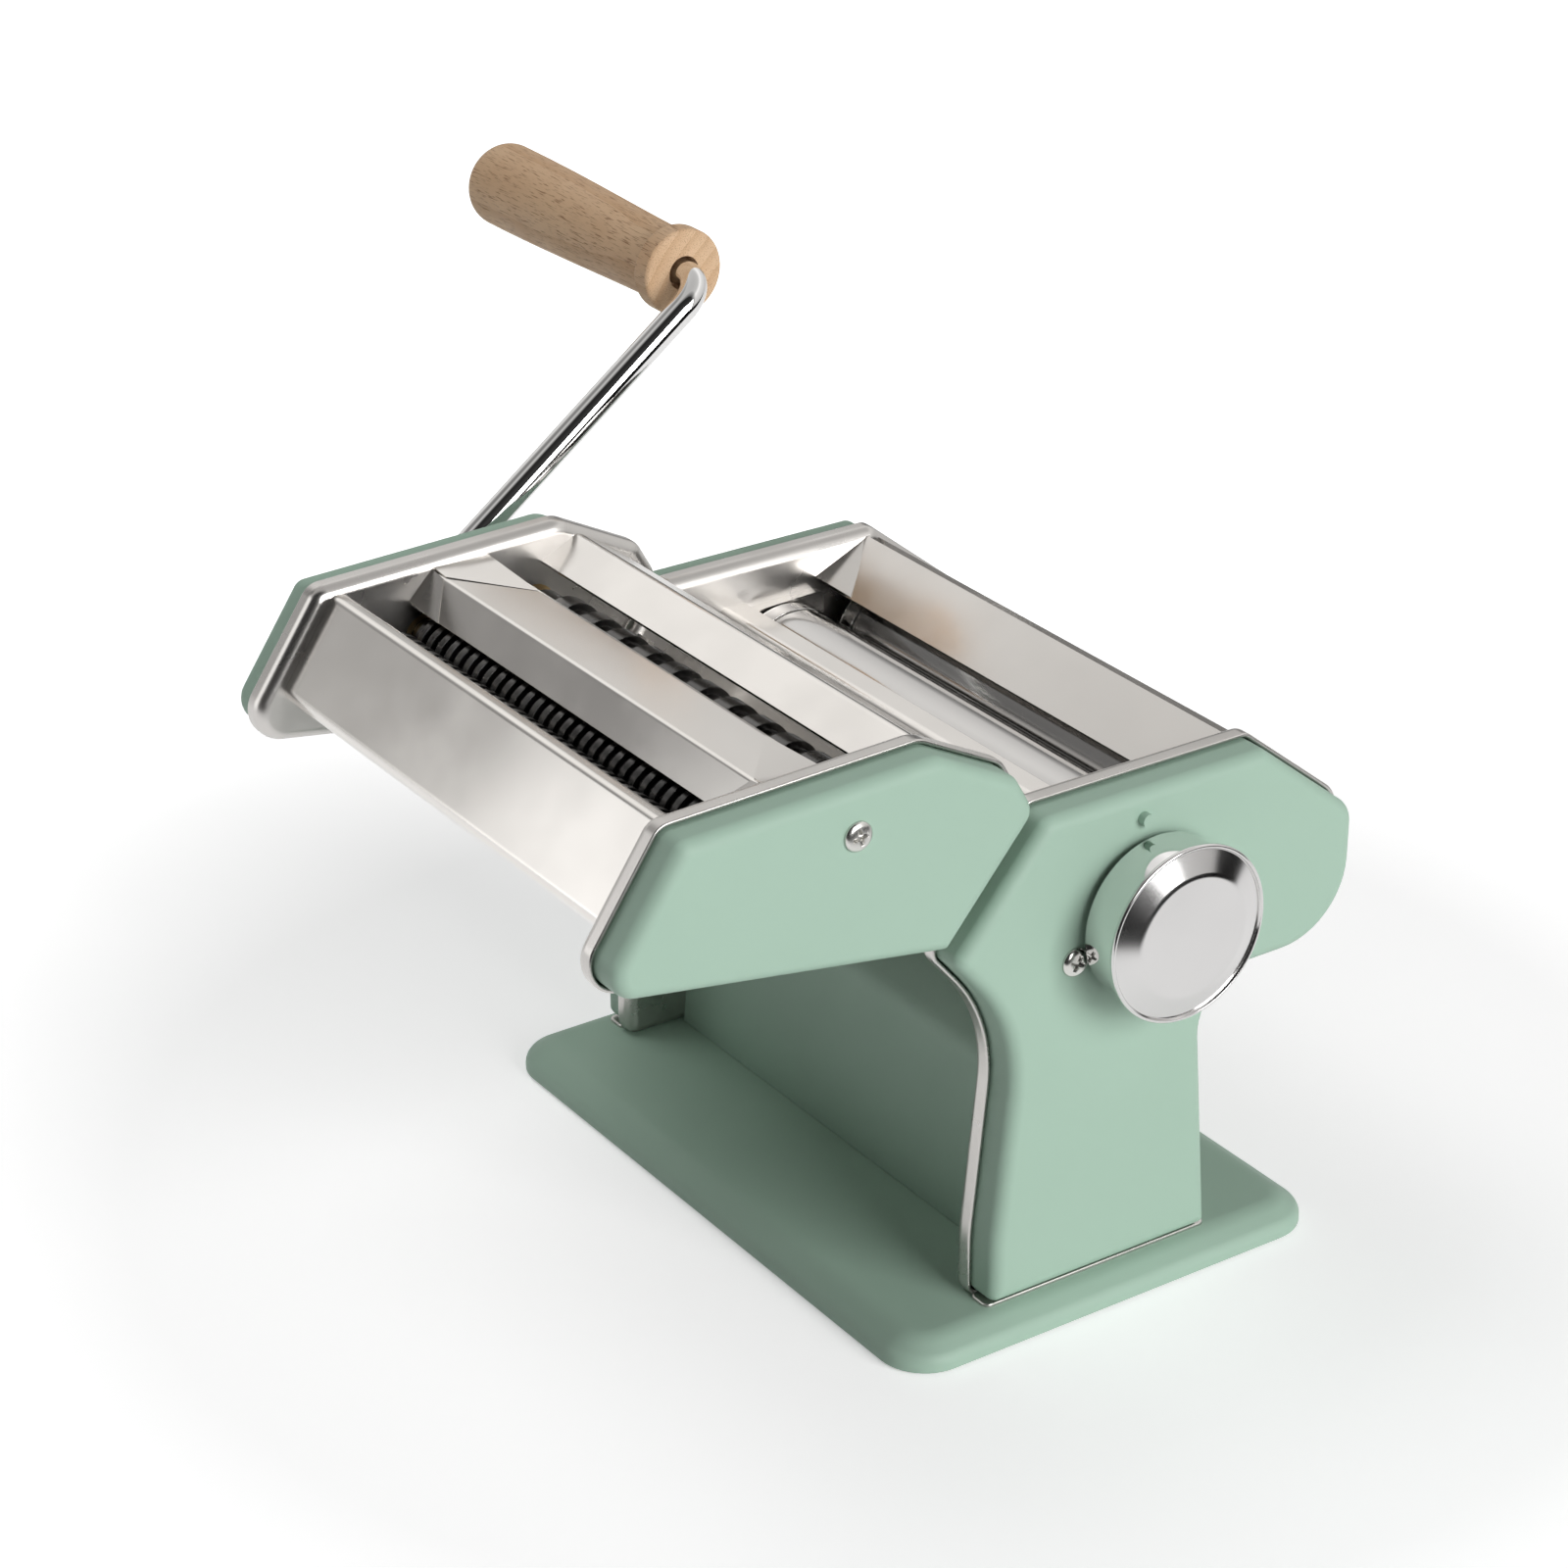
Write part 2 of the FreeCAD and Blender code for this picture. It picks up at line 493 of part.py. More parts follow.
def cover_screw(name, y, z, side):
    """A cross-head screw through a cover into the web behind it."""
    start = "web_x" if side > 0 else "-cover_x"
    rise = "cover_x" if side > 0 else "-(cover_x + cover_screw_rise)"
    shank = bar(name + "_shank", "cover_screw_radius", start, "cover_x - web_x", y, z)
    head = bar(name + "_head", "cover_screw_head", rise, "cover_screw_rise", y, z)
    screw = joined("Part::Fuse", name + "_blank", head, shank)
    for number, angle in enumerate((45, 135)):
        slot = doc.addObject("Part::Box", f"{name}_slot_{number}")
        width, reach = size("cover_screw_head") * 0.2, size("cover_screw_head") * 1.1
        slot.Length, slot.Width, slot.Height = size("cover_screw_rise"), width, reach
        middle = Vector(-slot.Length.Value / 2, -width / 2, -reach / 2)
        spin = Rotation(Vector(1, 0, 0), angle)
        face = side * (size("cover_x") + size("cover_screw_rise") * 1.1)
        seat = Vector(face, y_value(y), y_value(z))
        slot.Placement = Placement(seat + spin.multVec(middle), spin)
        screw = joined("Part::Cut", f"{name}_{number}", screw, slot)
    return screw


nodes.append(group("cover_screws", [
    cover_screw("left_cover_screw", "-cover_screw_y", "cover_screw_z", -1),
    cover_screw("right_cover_screw", "-cover_screw_y", "cover_screw_z", 1)]))

index = bar("thickness_index", "index_radius", "cover_x - cover_wall", "cover_wall + index_height",
            "knob_y - index_side", "knob_z + index_rise")
nodes.append(index)


def tie_group(label, spots, screws_label):
    """Spacer rods between two webs, necked through them, and the nuts outside."""
    rods, nuts = [], []
    neck_end = size("web_x") + size("frame_sheet") + size("tie_nut_depth")
    web, thick, thin = size("web_x"), size("tie_radius"), size("tie_neck")
    profile = [(-neck_end, 0), (-neck_end, thin), (-web, thin), (-web, thick),
               (web, thick), (web, thin), (neck_end, thin), (neck_end, 0)]
    for number, (y, z) in enumerate(spots):
        rod = turned(f"{label}_{number}", profile)
        rod.Placement = Placement(Vector(0, y, z), Rotation())
        rods.append(rod)
        for side in (-1, 1):
            start = "web_x + frame_sheet" if side > 0 else "-(web_x + frame_sheet + tie_nut_depth)"
            nut = sleeve(f"{screws_label}_{number}_{side + 1}", "tie_nut_radius", "tie_neck",
                         start, "tie_nut_depth", "0", "0")
            for part in (nut.Base, nut.Tool):
                part.setExpression("Placement.Base.y", str(y))
                part.setExpression("Placement.Base.z", str(z))
            nuts.append(nut)
    return [group(label, rods), group(screws_label, nuts)]


nodes += tie_group("frame_tie_rods", TIE_RODS, "tie_rod_nuts")

# Sheets between the main side frames

nodes.append(across("chute_panel", thicken(
    [(-size("chute_front"), size("base_top")), (-size("chute_fold"), size("chute_fold_z")),
     (size("chute_rear"), size("chute_rear_z"))], size("chute_sheet"), size("chute_bend"))))
panel, bend = size("panel_sheet"), size("panel_bend")
nodes.append(across("front_hopper_strip", thicken(
    [(size("strip_rear"), size("strip_z") - panel), (-size("strip_front"), size("strip_z") - panel),
     (-size("strip_skirt"), size("strip_skirt_z"))], -panel, bend)))
shell_line = [corner[:2] for corner in inset(MAIN_OUTLINE, size("shell_inset") + panel)]
apex, shoulder, heel = shell_line[5], shell_line[4], shell_line[3]
nodes.append(across("hopper_plate", thicken(
    [(size("hopper_foot"), size("hopper_foot_z") - panel), (apex[0] - size("apex_gap"), apex[1])], panel, bend)))
nodes.append(across("rear_shell", thicken(
    [(heel[0] - size("shell_floor_run"), heel[1]), (heel[0] - size("shell_heel_cut"), heel[1]),
     (heel[0], heel[1] + size("shell_heel_cut")), shoulder,
     (apex[0] + size("shell_apex_gap"), apex[1] - size("shell_apex_drop"))], -panel, bend)))
cheek_rear = size("hopper_foot") - size("cheek_rear_gap")
cheek = [(-size("cheek_front"), size("cheek_floor"), 0), (cheek_rear, size("cheek_floor"), 0),
         (cheek_rear, size("hopper_foot_z") - size("cheek_rear_drop"), size("cheek_round")),
         (-size("cheek_front"), size("strip_z") - size("cheek_front_drop"), size("cheek_round"))]
for side, word in ((-1, "left"), (1, "right")):
    start = "web_x - cheek_depth" if side > 0 else "-web_x"
    nodes.append(plate(f"{word}_hopper_cheek", [rounded(cheek)], start, "cheek_depth"))


def scraper(label, y, z, radius, angle, gap, length):
    """A blade from web to web whose tip stands a gap away from a roller."""
    way = Vector(math.cos(math.radians(angle)), math.sin(math.radians(angle)), 0)
    tip = Vector(y, z, 0) + way * (radius + gap)
    end = tip + way * length
    return across(label, thicken([(tip.x, tip.y), (end.x, end.y)], panel, bend))


nodes.append(scraper("front_scraper", front_y, roller_z, size("roller_radius"),
                     size("front_blade_angle"), size("scraper_gap"), size("scraper_length")))
nodes.append(scraper("rear_scraper", rear_y, roller_z, size("roller_radius"),
                     size("rear_blade_angle"), size("blade_gap"), size("scraper_length")))

# Rollers, their gears and their bearings


def axle_left(end, socket):
    """Left end of an axle, from its outer face to the barrel, with or without a crank socket."""
    thick = size("axle_radius")
    if not socket:
        return [(-end, 0), (-end, thick)]
    floor = -end + size("socket_depth")
    return [(floor, 0), (floor, size("socket_radius")), (-end, size("socket_radius")), (-end, thick)]


def smooth_roller(label, y, right_end, left_end, socket):
    """A polished roller with a groove near each end of its barrel, turned with its axle."""
    barrel, thick, half = size("roller_radius"), size("axle_radius"), size("roller_half")
    groove, width = size("roller_groove_x"), size("roller_groove_width")
    low = barrel - size("roller_groove_depth")
    profile = axle_left(left_end, socket) + [(-half, thick), (-half, barrel)]
    for middle in (-groove, groove):
        profile += [(middle - width / 2, barrel), (middle - width / 2, low),
                    (middle + width / 2, low), (middle + width / 2, barrel)]
    profile += [(half, barrel), (half, thick), (right_end, thick), (right_end, 0)]
    return turned(label, profile, y, "roller_z")


block_end = size("block_x") + size("block_depth")
gear_end = size("gear_x") + size("gear_depth")
socket_end = size("cover_x") + size("socket_lip")
bush_end = size("web_x") + size("bush_length")
nodes.append(smooth_roller("front_roller", "roller_y", block_end - size("axle_short"), gear_end, False))
nodes.append(smooth_roller("rear_roller", rear_at[0], bush_end, socket_end, True))


def gear(label, teeth, pitch_radius, addendum, dedendum, phase, station, depth, at):
    """A spur gear on a roller's axle, behind the left cover."""
    loops = [tooth_outline(int(teeth), pitch_radius, addendum, dedendum, phase),
             ring_edges(0, 0, size("axle_radius") + size("gear_bore_gap"))]
    body = plate(label, loops, f"-({station} + {depth})", depth)
    place(body, *at)
    return body


roller_pitch = size("roller_radius") + size("roller_nip") / 2
for label, at, phase in (("front_roller_gear", front_at, 0.0), ("rear_roller_gear", rear_at, 0.5)):
    nodes.append(gear(label, size("gear_teeth"), roller_pitch, size("gear_addendum"),
                      size("gear_dedendum"), phase, "gear_x", "gear_depth", at))
nodes.append(group("rear_roller_bushes", [
    sleeve("rear_bush_left", "axle_radius + axle_gap + bush_wall", "axle_radius + axle_gap",
           "-(web_x + bush_length)", "bush_length", *rear_at),
    sleeve("rear_bush_right", "axle_radius + axle_gap + bush_wall", "axle_radius + axle_gap",
           "web_x", "bush_length", *rear_at)]))

# Carrier of the front roller: a block outside each web, a yoke bar between them

block_low = roller_z - size("block_drop")
block_high = roller_z + size("block_top")
block_front, block_rear = front_y - size("block_half"), front_y + size("block_half")
block_round = size("block_round")
block_outline = [(block_front, block_low, block_round), (block_rear, block_low, block_round),
                 (block_rear, block_high, block_round), (block_front, block_high, block_round)]
block_loops = [rounded(block_outline),
               ring_edges(front_y, roller_z, size("axle_radius") + size("axle_gap")),
               ring_edges(front_y, roller_z - size("yoke_drop"), size("yoke_radius"))]
nodes.append(plate("left_bearing_block", block_loops, "-(block_x + block_depth)", "block_depth"))
right_block = plate("right_bearing_block", block_loops, "block_x", "block_depth")
pin_y = size("knob_y") - size("cam_radius") - size("pin_radius") - size("pin_gap")
tab_tip, tab_root = pin_y - size("tab_reach"), block_front + size("tab_overlap")
tab_low, tab_high = size("knob_z") - size("tab_half"), size("knob_z") + size("tab_half")
tab = [(tab_tip, tab_low, size("tab_round")), (tab_root, tab_low, 0),
       (tab_root, tab_high, 0), (tab_tip, tab_high, size("tab_round"))]
add_pad(right_block, [rounded(tab)], "block_x", "block_depth")
add_pad(right_block, [ring_edges(pin_y, size("knob_z"), size("pin_radius"))],
        "block_x + block_depth", "cam_x + cam_depth - block_x - block_depth")
nodes.append(right_block)
yoke = bar("carrier_yoke_bar", "yoke_radius", "-(block_x + block_depth)",
           "2 * (block_x + block_depth)", "roller_y", "roller_z - yoke_drop")
nodes.append(yoke)

# Thickness selector and knob

selector_end = size("cover_x") + size("knob_clear") + size("knob_length") * 0.75
nodes.append(bar("selector_shaft", "selector_radius", "block_x + block_depth + 2 * pin_gap",
                 "cover_x + knob_clear + 0.75 * knob_length - block_x - block_depth - 2 * pin_gap", *knob_at))
cam_rise = size("gap_travel") / math.radians(size("gap_turn"))
CAM_STEPS = 60
cam_sweep = math.radians(size("cam_sweep"))
cam_points = []
for step in range(CAM_STEPS + 1):
    back_turn = -math.radians(size("cam_lead")) + cam_sweep * step / CAM_STEPS
    radius = size("cam_radius") + cam_rise * back_turn
    cam_points.append((radius * math.cos(math.pi - back_turn), radius * math.sin(math.pi - back_turn), 0))
cam = plate("snail_cam", [rounded(cam_points), ring_edges(0, 0, size("selector_radius"))],
            "cam_x", "cam_depth")
place(cam, *knob_at)
nodes.append(cam)
bush_face = size("cover_x") - size("cover_wall")
bush_bore = size("selector_radius") + size("selector_gap")
nodes.append(turned("selector_bush", [
    (bush_face - size("selector_flange_depth"), bush_bore), (size("cover_x"), bush_bore),
    (size("cover_x"), size("selector_bush_radius")), (bush_face, size("selector_bush_radius")),
    (bush_face, size("bush_flange")), (bush_face - size("selector_flange_depth"), size("bush_flange"))],
    *knob_at))
knob_back = size("cover_x") + size("knob_clear")
knob_front = knob_back + size("knob_length")
knob_wall, knob_r = size("knob_wall"), size("knob_radius")
hub_back = knob_back + size("hub_recess")
hub_floor = hub_back + size("knob_hub_floor")
nodes.append(turned("knob_barrel", [
    (knob_back, knob_r - knob_wall), (knob_back, knob_r), (knob_front, knob_r),
    (knob_front, size("knob_hub_bore")), (hub_floor, size("knob_hub_bore")), (hub_floor, bush_bore),
    (hub_back, bush_bore), (hub_back, size("knob_hub_radius")),
    (knob_front - knob_wall, size("knob_hub_radius")), (knob_front - knob_wall, knob_r - knob_wall)],
    *knob_at))
rim_end = knob_front + size("knob_cap_rim")
face_end = rim_end + size("knob_cap_bevel")
nodes.append(turned("knob_cap", [
    (knob_front, 0), (knob_front, size("knob_cap_radius")), (rim_end, size("knob_cap_radius")),
    (rim_end, size("knob_cap_radius") - size("cap_step")), (face_end, size("knob_cap_face")), (face_end, 0)], *knob_at))
nodes.append(turned("knob_retaining_screw", [
    (selector_end, 0), (selector_end, size("knob_hub_bore") - 2 * size("pin_gap")),
    (selector_end + size("retainer_depth"), size("knob_hub_bore") - 2 * size("pin_gap")),
    (selector_end + size("retainer_depth"), 0)], *knob_at))
spring_length = selector_end - hub_floor - size("knob_pull") - size("pin_gap")
nodes.append(turned("knob_spring", [
    (hub_floor, bush_bore + size("pin_gap")), (hub_floor + spring_length, bush_bore + size("pin_gap")),
    (hub_floor + spring_length, size("knob_hub_bore") - size("pin_gap")),
    (hub_floor, size("knob_hub_bore") - size("pin_gap"))], *knob_at))

# Noodle cutter: frames, covers, sheets

cutter_bush = {-1: size("axle_radius") + size("axle_gap") + size("cutter_bush_wall"),
               1: size("cutter_stub_radius") + size("axle_gap") + size("cutter_bush_wall")}
tie_holes = [ring_edges(y, z, size("tie_neck")) for y, z in CUTTER_TIES]
right_screw = (-size("cutter_screw_y"), size("cutter_screw_z"))
left_screw = (-size("cutter_left_screw_y"), size("cutter_left_screw_z"))
cutter_cover_holes = {
    1: [ring_edges(*right_screw, screw_hole)],
    -1: [ring_edges(cutter_y["narrow_front"], cutter_z, hole_radius),
         ring_edges(cutter_y["wide_front"], cutter_z, hole_radius), ring_edges(*left_screw, screw_hole)],
}
for side, word, spot in ((-1, "left", left_screw), (1, "right", right_screw)):
    bush_holes = [ring_edges(y, cutter_z, cutter_bush[side]) for y in cutter_y.values()]
    nodes.append(pan(f"cutter_{word}_frame", CUTTER_OUTLINE, side,
                     bush_holes + tie_holes + [ring_edges(*spot, screw_hole)]))
    nodes.append(pressed_shell(f"cutter_{word}_cover", inset(CUTTER_OUTLINE, cover_inset), cover_stations,
                               "cover_bevel_run", "cover_wall", cutter_cover_holes[side], "YZ_Plane", side))
nodes.append(group("cutter_cover_screws", [
    cover_screw("cutter_left_screw", "-cutter_left_screw_y", "cutter_left_screw_z", -1),
    cover_screw("cutter_right_screw", "-cutter_screw_y", "cutter_screw_z", 1)]))
nodes += tie_group("cutter_tie_rods", CUTTER_TIES, "cutter_tie_nuts")

panel_line = inset(CUTTER_OUTLINE, size("front_panel_inset"))
nose, brow = panel_line[5], panel_line[4]
front_way = Vector(brow[0] - nose[0], brow[1] - nose[1], 0).normalize()
nose_fold = (nose[0] + front_way.x * size("nose_fold"), nose[1] + front_way.y * size("nose_fold"))
lip = (brow[0] - front_way.x * size("lip_trim"), brow[1] - front_way.y * size("lip_trim"))
nodes.append(across("cutter_front_panel", thicken(
    [(nose_fold[0] + size("nose_flap"), nose_fold[1] - size("nose_flap_drop")), nose_fold, lip,
     (lip[0] + size("lip_run"), lip[1] - size("lip_dip")), (lip[0] + size("lip_end"), lip[1] - size("lip_drop"))],
    -panel, size("tight_bend"))))
nodes.append(across("cutter_centre_guide", thicken(
    [(-size("guide_lip"), size("guide_lip_z") - panel), (-size("guide_ridge"), size("guide_ridge_z") - panel),
     (-size("guide_rear"), size("guide_rear_z") - panel), (-size("guide_rear") + size("guide_hem_run"), size("guide_rear_z") - size("guide_hem_drop"))],
    panel, size("tight_bend"))))
nodes.append(across("cutter_rear_guide", thicken(
    [(-size("rear_guide_low"), size("rear_guide_low_z") - panel),
     (-size("rear_guide_top"), size("rear_guide_top_z") - panel),
     (-size("rear_guide_tail"), size("rear_guide_tail_z") - panel)], panel, bend)))
nodes.append(scraper("narrow_scraper", cutter_y["narrow_front"], cutter_z, size("cutter_radius"),
                     size("narrow_blade_angle"), size("blade_gap"), size("scraper_length")))
nodes.append(scraper("wide_scraper", cutter_y["wide_rear"], cutter_z, size("cutter_radius"),
                     size("wide_blade_angle"), size("blade_gap"), size("scraper_length")))

# Noodle cutter: ringed rollers, gears and bushes


def ringed_roller(label, step, ring, shifted, socket, gear_station, y):
    """A cutting roller: rings of one width at an even step, which stand in its mate's grooves."""
    half, top, core, thick = (size("cutter_half"), size("cutter_radius"), size("cutter_core"),
                              size("axle_radius"))
    left_end = socket_end if socket else size(gear_station) + size("cutter_gear_depth")
    profile = axle_left(left_end, socket) + [(-half, thick), (-half, core)]
    count = int((2 * half - step) / step)
    first = -step * (count - 1) / 2 - (step / 4 if shifted else -step / 4)
    for number in range(count):
        middle = first + number * step
        profile += [(middle - ring / 2, core), (middle - ring / 2, top),
                    (middle + ring / 2, top), (middle + ring / 2, core)]
    stub = size("cutter_stub_radius")
    profile += [(half, core), (half, stub), (bush_end, stub), (bush_end, 0)]
    return turned(label, profile, y, "cutter_axis_z")


for kind in ("narrow", "wide"):
    for place_word, phase in (("front", 0.0), ("rear", 0.5)):
        name = f"{kind}_{place_word}"
        nodes.append(ringed_roller(f"{name}_cutter", size(f"{kind}_step"), size(f"{kind}_ring"),
                                   place_word == "rear", place_word == "front", f"{kind}_gear_x",
                                   cutter_axes[name]))
        nodes.append(gear(f"{name}_gear", size("cutter_teeth"), size("cutter_pitch") / 2,
                          size("cutter_addendum"), size("cutter_dedendum"), phase, f"{kind}_gear_x",
                          "cutter_gear_depth", (cutter_axes[name], "cutter_axis_z")))
for side, word in ((-1, "left"), (1, "right")):
    length = "frame_sheet + cutter_bush_proud" if side < 0 else "bush_length"
    start = "web_x" if side > 0 else f"-(web_x + {length})"
    bore = ("cutter_stub_radius" if side > 0 else "axle_radius") + " + axle_gap"
    bushes = [sleeve(f"cutter_{word}_bush_{number}", f"{bore} + cutter_bush_wall", bore, start, length,
                     y, "cutter_axis_z")
              for number, y in enumerate(cutter_axes.values())]
    nodes.append(group(f"cutter_{word}_bushes", bushes))

# Rails on the head's front edge and the hooks that ride on them

lean = math.degrees(math.atan2(edge_way.x, edge_way.y))
edge_place = Placement(Vector(0, *main_tip), Rotation(Vector(1, 0, 0), -lean))
web, rail_in = size("web_x"), size("web_x") - size("rail_width")
rail_low, rail_high = size("rail_behind"), size("rail_behind") + size("rail_depth")
gap, wall = size("hook_gap"), size("hook_wall")
rail_outline = [(rail_in, rail_low), (web, rail_low), (web, rail_high), (rail_in, rail_high)]
hook_in = rail_in - gap - wall
front_face = -size("nest_gap") - wall
hook_outline = [(hook_in, front_face), (web, front_face), (web, -size("nest_gap") - gap),
                (web - 2 * gap, -size("nest_gap") - gap), (web - 2 * gap, rail_low - gap),
                (rail_in - gap, rail_low - gap), (rail_in - gap, rail_high + gap),
                (web - 4 * gap, rail_high + gap), (web - 4 * gap, rail_high + gap + wall),
                (hook_in, rail_high + gap + wall)]


def edge_pair(label, outline, start, length):
    """A left and a right piece along the sloping edge, from one section of (x, depth)."""
    pair = []
    for side in (-1, 1):
        section = rounded([(side * x, depth, 0) for x, depth in outline])
        piece = plate(f"{label}_{side + 1}", [section], start, length, "XY_Plane")
        piece.Placement = edge_place
        pair.append(piece)
    return group(label, pair)


nodes.append(edge_pair("guide_rails", rail_outline, "rail_start", "rail_length"))
nodes.append(edge_pair("cutter_hooks", hook_outline, "rail_start + hook_trim", "rail_length - 2 * hook_trim"))

# Crank and grip, drawn in the plane of the rod: x along the rollers, v along the arm

crank = new_body("crank_rod")
plane_x, turn_radius, arm = size("crank_plane"), size("crank_bend"), size("crank_arm")
rod_start = socket_end + size("rod_gap")
spindle_end = size("grip_start") + size("grip_length") - size("grip_end_wall")
diagonal = turn_radius * math.sqrt(0.5)
first_turn = Vector(-plane_x + turn_radius, turn_radius, 0)
second_turn = Vector(-plane_x - turn_radius, arm - turn_radius, 0)
path = [
    Part.LineSegment(Vector(-rod_start, 0, 0), Vector(-plane_x + turn_radius, 0, 0)),
    Part.Arc(Vector(-plane_x + turn_radius, 0, 0), first_turn + Vector(-diagonal, -diagonal, 0),
             Vector(-plane_x, turn_radius, 0)),
    Part.LineSegment(Vector(-plane_x, turn_radius, 0), Vector(-plane_x, arm - turn_radius, 0)),
    Part.Arc(Vector(-plane_x, arm - turn_radius, 0), second_turn + Vector(diagonal, diagonal, 0),
             Vector(-plane_x - turn_radius, arm, 0)),
    Part.LineSegment(Vector(-plane_x - turn_radius, arm, 0), Vector(-spindle_end, arm, 0)),
]
pipe = crank.newObject("PartDesign::AdditivePipe", "crank_rod_pipe")
pipe.Profile = sketch_on(crank, "YZ_Plane", "-(cover_x + socket_lip + rod_gap)",
                         ring_edges(0, 0, size("crank_radius")))
pipe.Spine = sketch_on(crank, "XY_Plane", "0", path)
doc.recompute()
add_pad(crank, [ring_edges(0, 0, size("socket_radius") - size("crank_tip_gap"))],
        "-(cover_x + socket_lip + rod_gap)", "socket_depth - crank_tip_short")
crank_spin = Rotation(Vector(1, 0, 0), size("crank_angle"))
hub = Vector(0, cutter_y["wide_front"], cutter_z)
crank.Placement = Placement(hub, crank_spin)
nodes.append(crank)

near, far = size("grip_start"), size("grip_start") + size("grip_length")
body_r, waist, rim = size("grip_radius"), size("grip_waist"), size("grip_rim")
bore = size("crank_radius") + size("grip_bore_gap")
recess = near + size("grip_recess")
bore_end = far - size("grip_end_wall") + 2 * size("grip_bore_gap")
GRIP_STEPS = 12
dome = [(far - body_r * 0.55 * (1 - math.sin(step * math.pi / 2 / GRIP_STEPS)),
         body_r * (0.25 + 0.75 * math.cos(step * math.pi / 2 / GRIP_STEPS)))
        for step in range(GRIP_STEPS + 1)]
swell_start = near + size("waist_end")
swell = [(swell_start + (far - body_r * 0.55 - swell_start) * step / GRIP_STEPS,
          waist + (body_r - waist) * math.sin(step * math.pi / 2 / GRIP_STEPS) ** 1.3)
         for step in range(GRIP_STEPS)]
ease = size("bead_ease")
outside = [(near, rim - ease), (near + ease, rim), (near + size("bead_end"), rim),
           (near + size("bead_foot"), waist)] + swell + dome
inside = [(far, 0), (bore_end, 0), (bore_end, bore), (recess, bore), (recess, size("grip_recess_radius")),
          (near, size("grip_recess_radius"))]
grip = turned("crank_grip", [(-x, r) for x, r in outside + inside])
grip_axis = hub + crank_spin.multVec(Vector(0, arm, 0))
grip.Placement = Placement(grip_axis, Rotation())
nodes.append(grip)

doc.recompute()

for item in doc.Objects:
    if "Invalid" in item.State or "Error" in item.State:
        raise RuntimeError(f"{item.Label} did not build: {item.State}")
for node in nodes:
    if node.Shape.isNull() or not node.Shape.isValid() or not node.Shape.Solids:
        raise RuntimeError(f"{node.Label} has no valid solid")

os.makedirs("parts", exist_ok=True)
for node in nodes:
    node.Shape.exportStep(f"parts/{node.Label}.step")
    print(node.Label, len(node.Shape.Solids), round(node.Shape.Volume))
print(len(nodes), "nodes")
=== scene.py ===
"""Dressed pasta roller machine: soft pressings, turned pieces, folded sheets, finishes and studio."""

from __future__ import annotations

import json
import logging
import math
from collections.abc import Callable
from dataclasses import dataclass, field
from enum import Enum
from functools import partial, reduce

import bmesh
import bpy
import numpy as np
from mathutils import Matrix, Vector
from mathutils.geometry import delaunay_2d_cdt

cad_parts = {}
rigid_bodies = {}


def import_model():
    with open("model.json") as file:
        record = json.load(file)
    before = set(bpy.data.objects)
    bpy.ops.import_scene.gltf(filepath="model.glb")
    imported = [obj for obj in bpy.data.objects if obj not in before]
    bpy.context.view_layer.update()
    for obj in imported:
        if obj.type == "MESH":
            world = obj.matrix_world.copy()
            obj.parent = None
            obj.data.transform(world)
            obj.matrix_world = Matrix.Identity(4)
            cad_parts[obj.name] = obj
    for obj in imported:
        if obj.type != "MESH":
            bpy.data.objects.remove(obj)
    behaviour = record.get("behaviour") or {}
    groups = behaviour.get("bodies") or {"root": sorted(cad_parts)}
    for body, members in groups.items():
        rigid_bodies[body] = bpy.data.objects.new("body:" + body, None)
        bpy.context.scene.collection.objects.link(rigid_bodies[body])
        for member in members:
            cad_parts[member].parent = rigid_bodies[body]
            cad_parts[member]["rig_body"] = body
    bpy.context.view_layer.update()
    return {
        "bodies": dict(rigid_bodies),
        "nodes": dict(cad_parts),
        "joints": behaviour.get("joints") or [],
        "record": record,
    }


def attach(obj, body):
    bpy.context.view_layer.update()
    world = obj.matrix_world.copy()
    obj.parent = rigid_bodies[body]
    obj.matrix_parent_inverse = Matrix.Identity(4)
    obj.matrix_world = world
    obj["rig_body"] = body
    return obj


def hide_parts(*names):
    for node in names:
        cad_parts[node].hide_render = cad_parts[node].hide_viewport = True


LOG = logging.getLogger("pasta_roller_machine")
MM = 0.001
# Lengths and half angles that count as none.
TINY = 1e-9
SMALL = 1e-6
# Radius of a sheet's cut edge, in millimetres.
CUT_EDGE = 0.25
# Distances under which a cap's points (mm) and a mesh's points (m) become one, and slivers close (m).
NET_MERGE = 1e-5
WELD = 2e-6
SLIVER = 1e-7
# Spans in each rounded corner of a section and of a plate's outline.
SECTION_STEPS = 8
OUTLINE_STEPS = 12
# Angle in degrees past which a facet's fold stays crisp.
FACET_SHARP = 12.0
# Rings per metre of a wave texture at scale 1.
WAVE_RINGS = 3.2
Pair = tuple[float, float]
Triple = tuple[float, float, float]
Corners = list[Triple]
Span = tuple[float, float, float, float]
Colour = tuple[float, float, float, float]


class Slot(Enum):
    """Material slots of the record."""

    PAINT = "green_paint"
    RUBBER = "rubber_pad"
    SHEET = "polished_steel"
    ROLLER = "roller_steel"
    CUTTER = "cutter_steel"
    ZINC = "zinc_steel"
    BRONZE = "bronze_bush"
    CHROME = "chrome_plate"
    BEECH = "beech"


class Plane(Enum):
    """Where a pressing lies: on the right or left side plate, or flat on the table."""

    RIGHT = 1
    LEFT = -1
    FLAT = 0


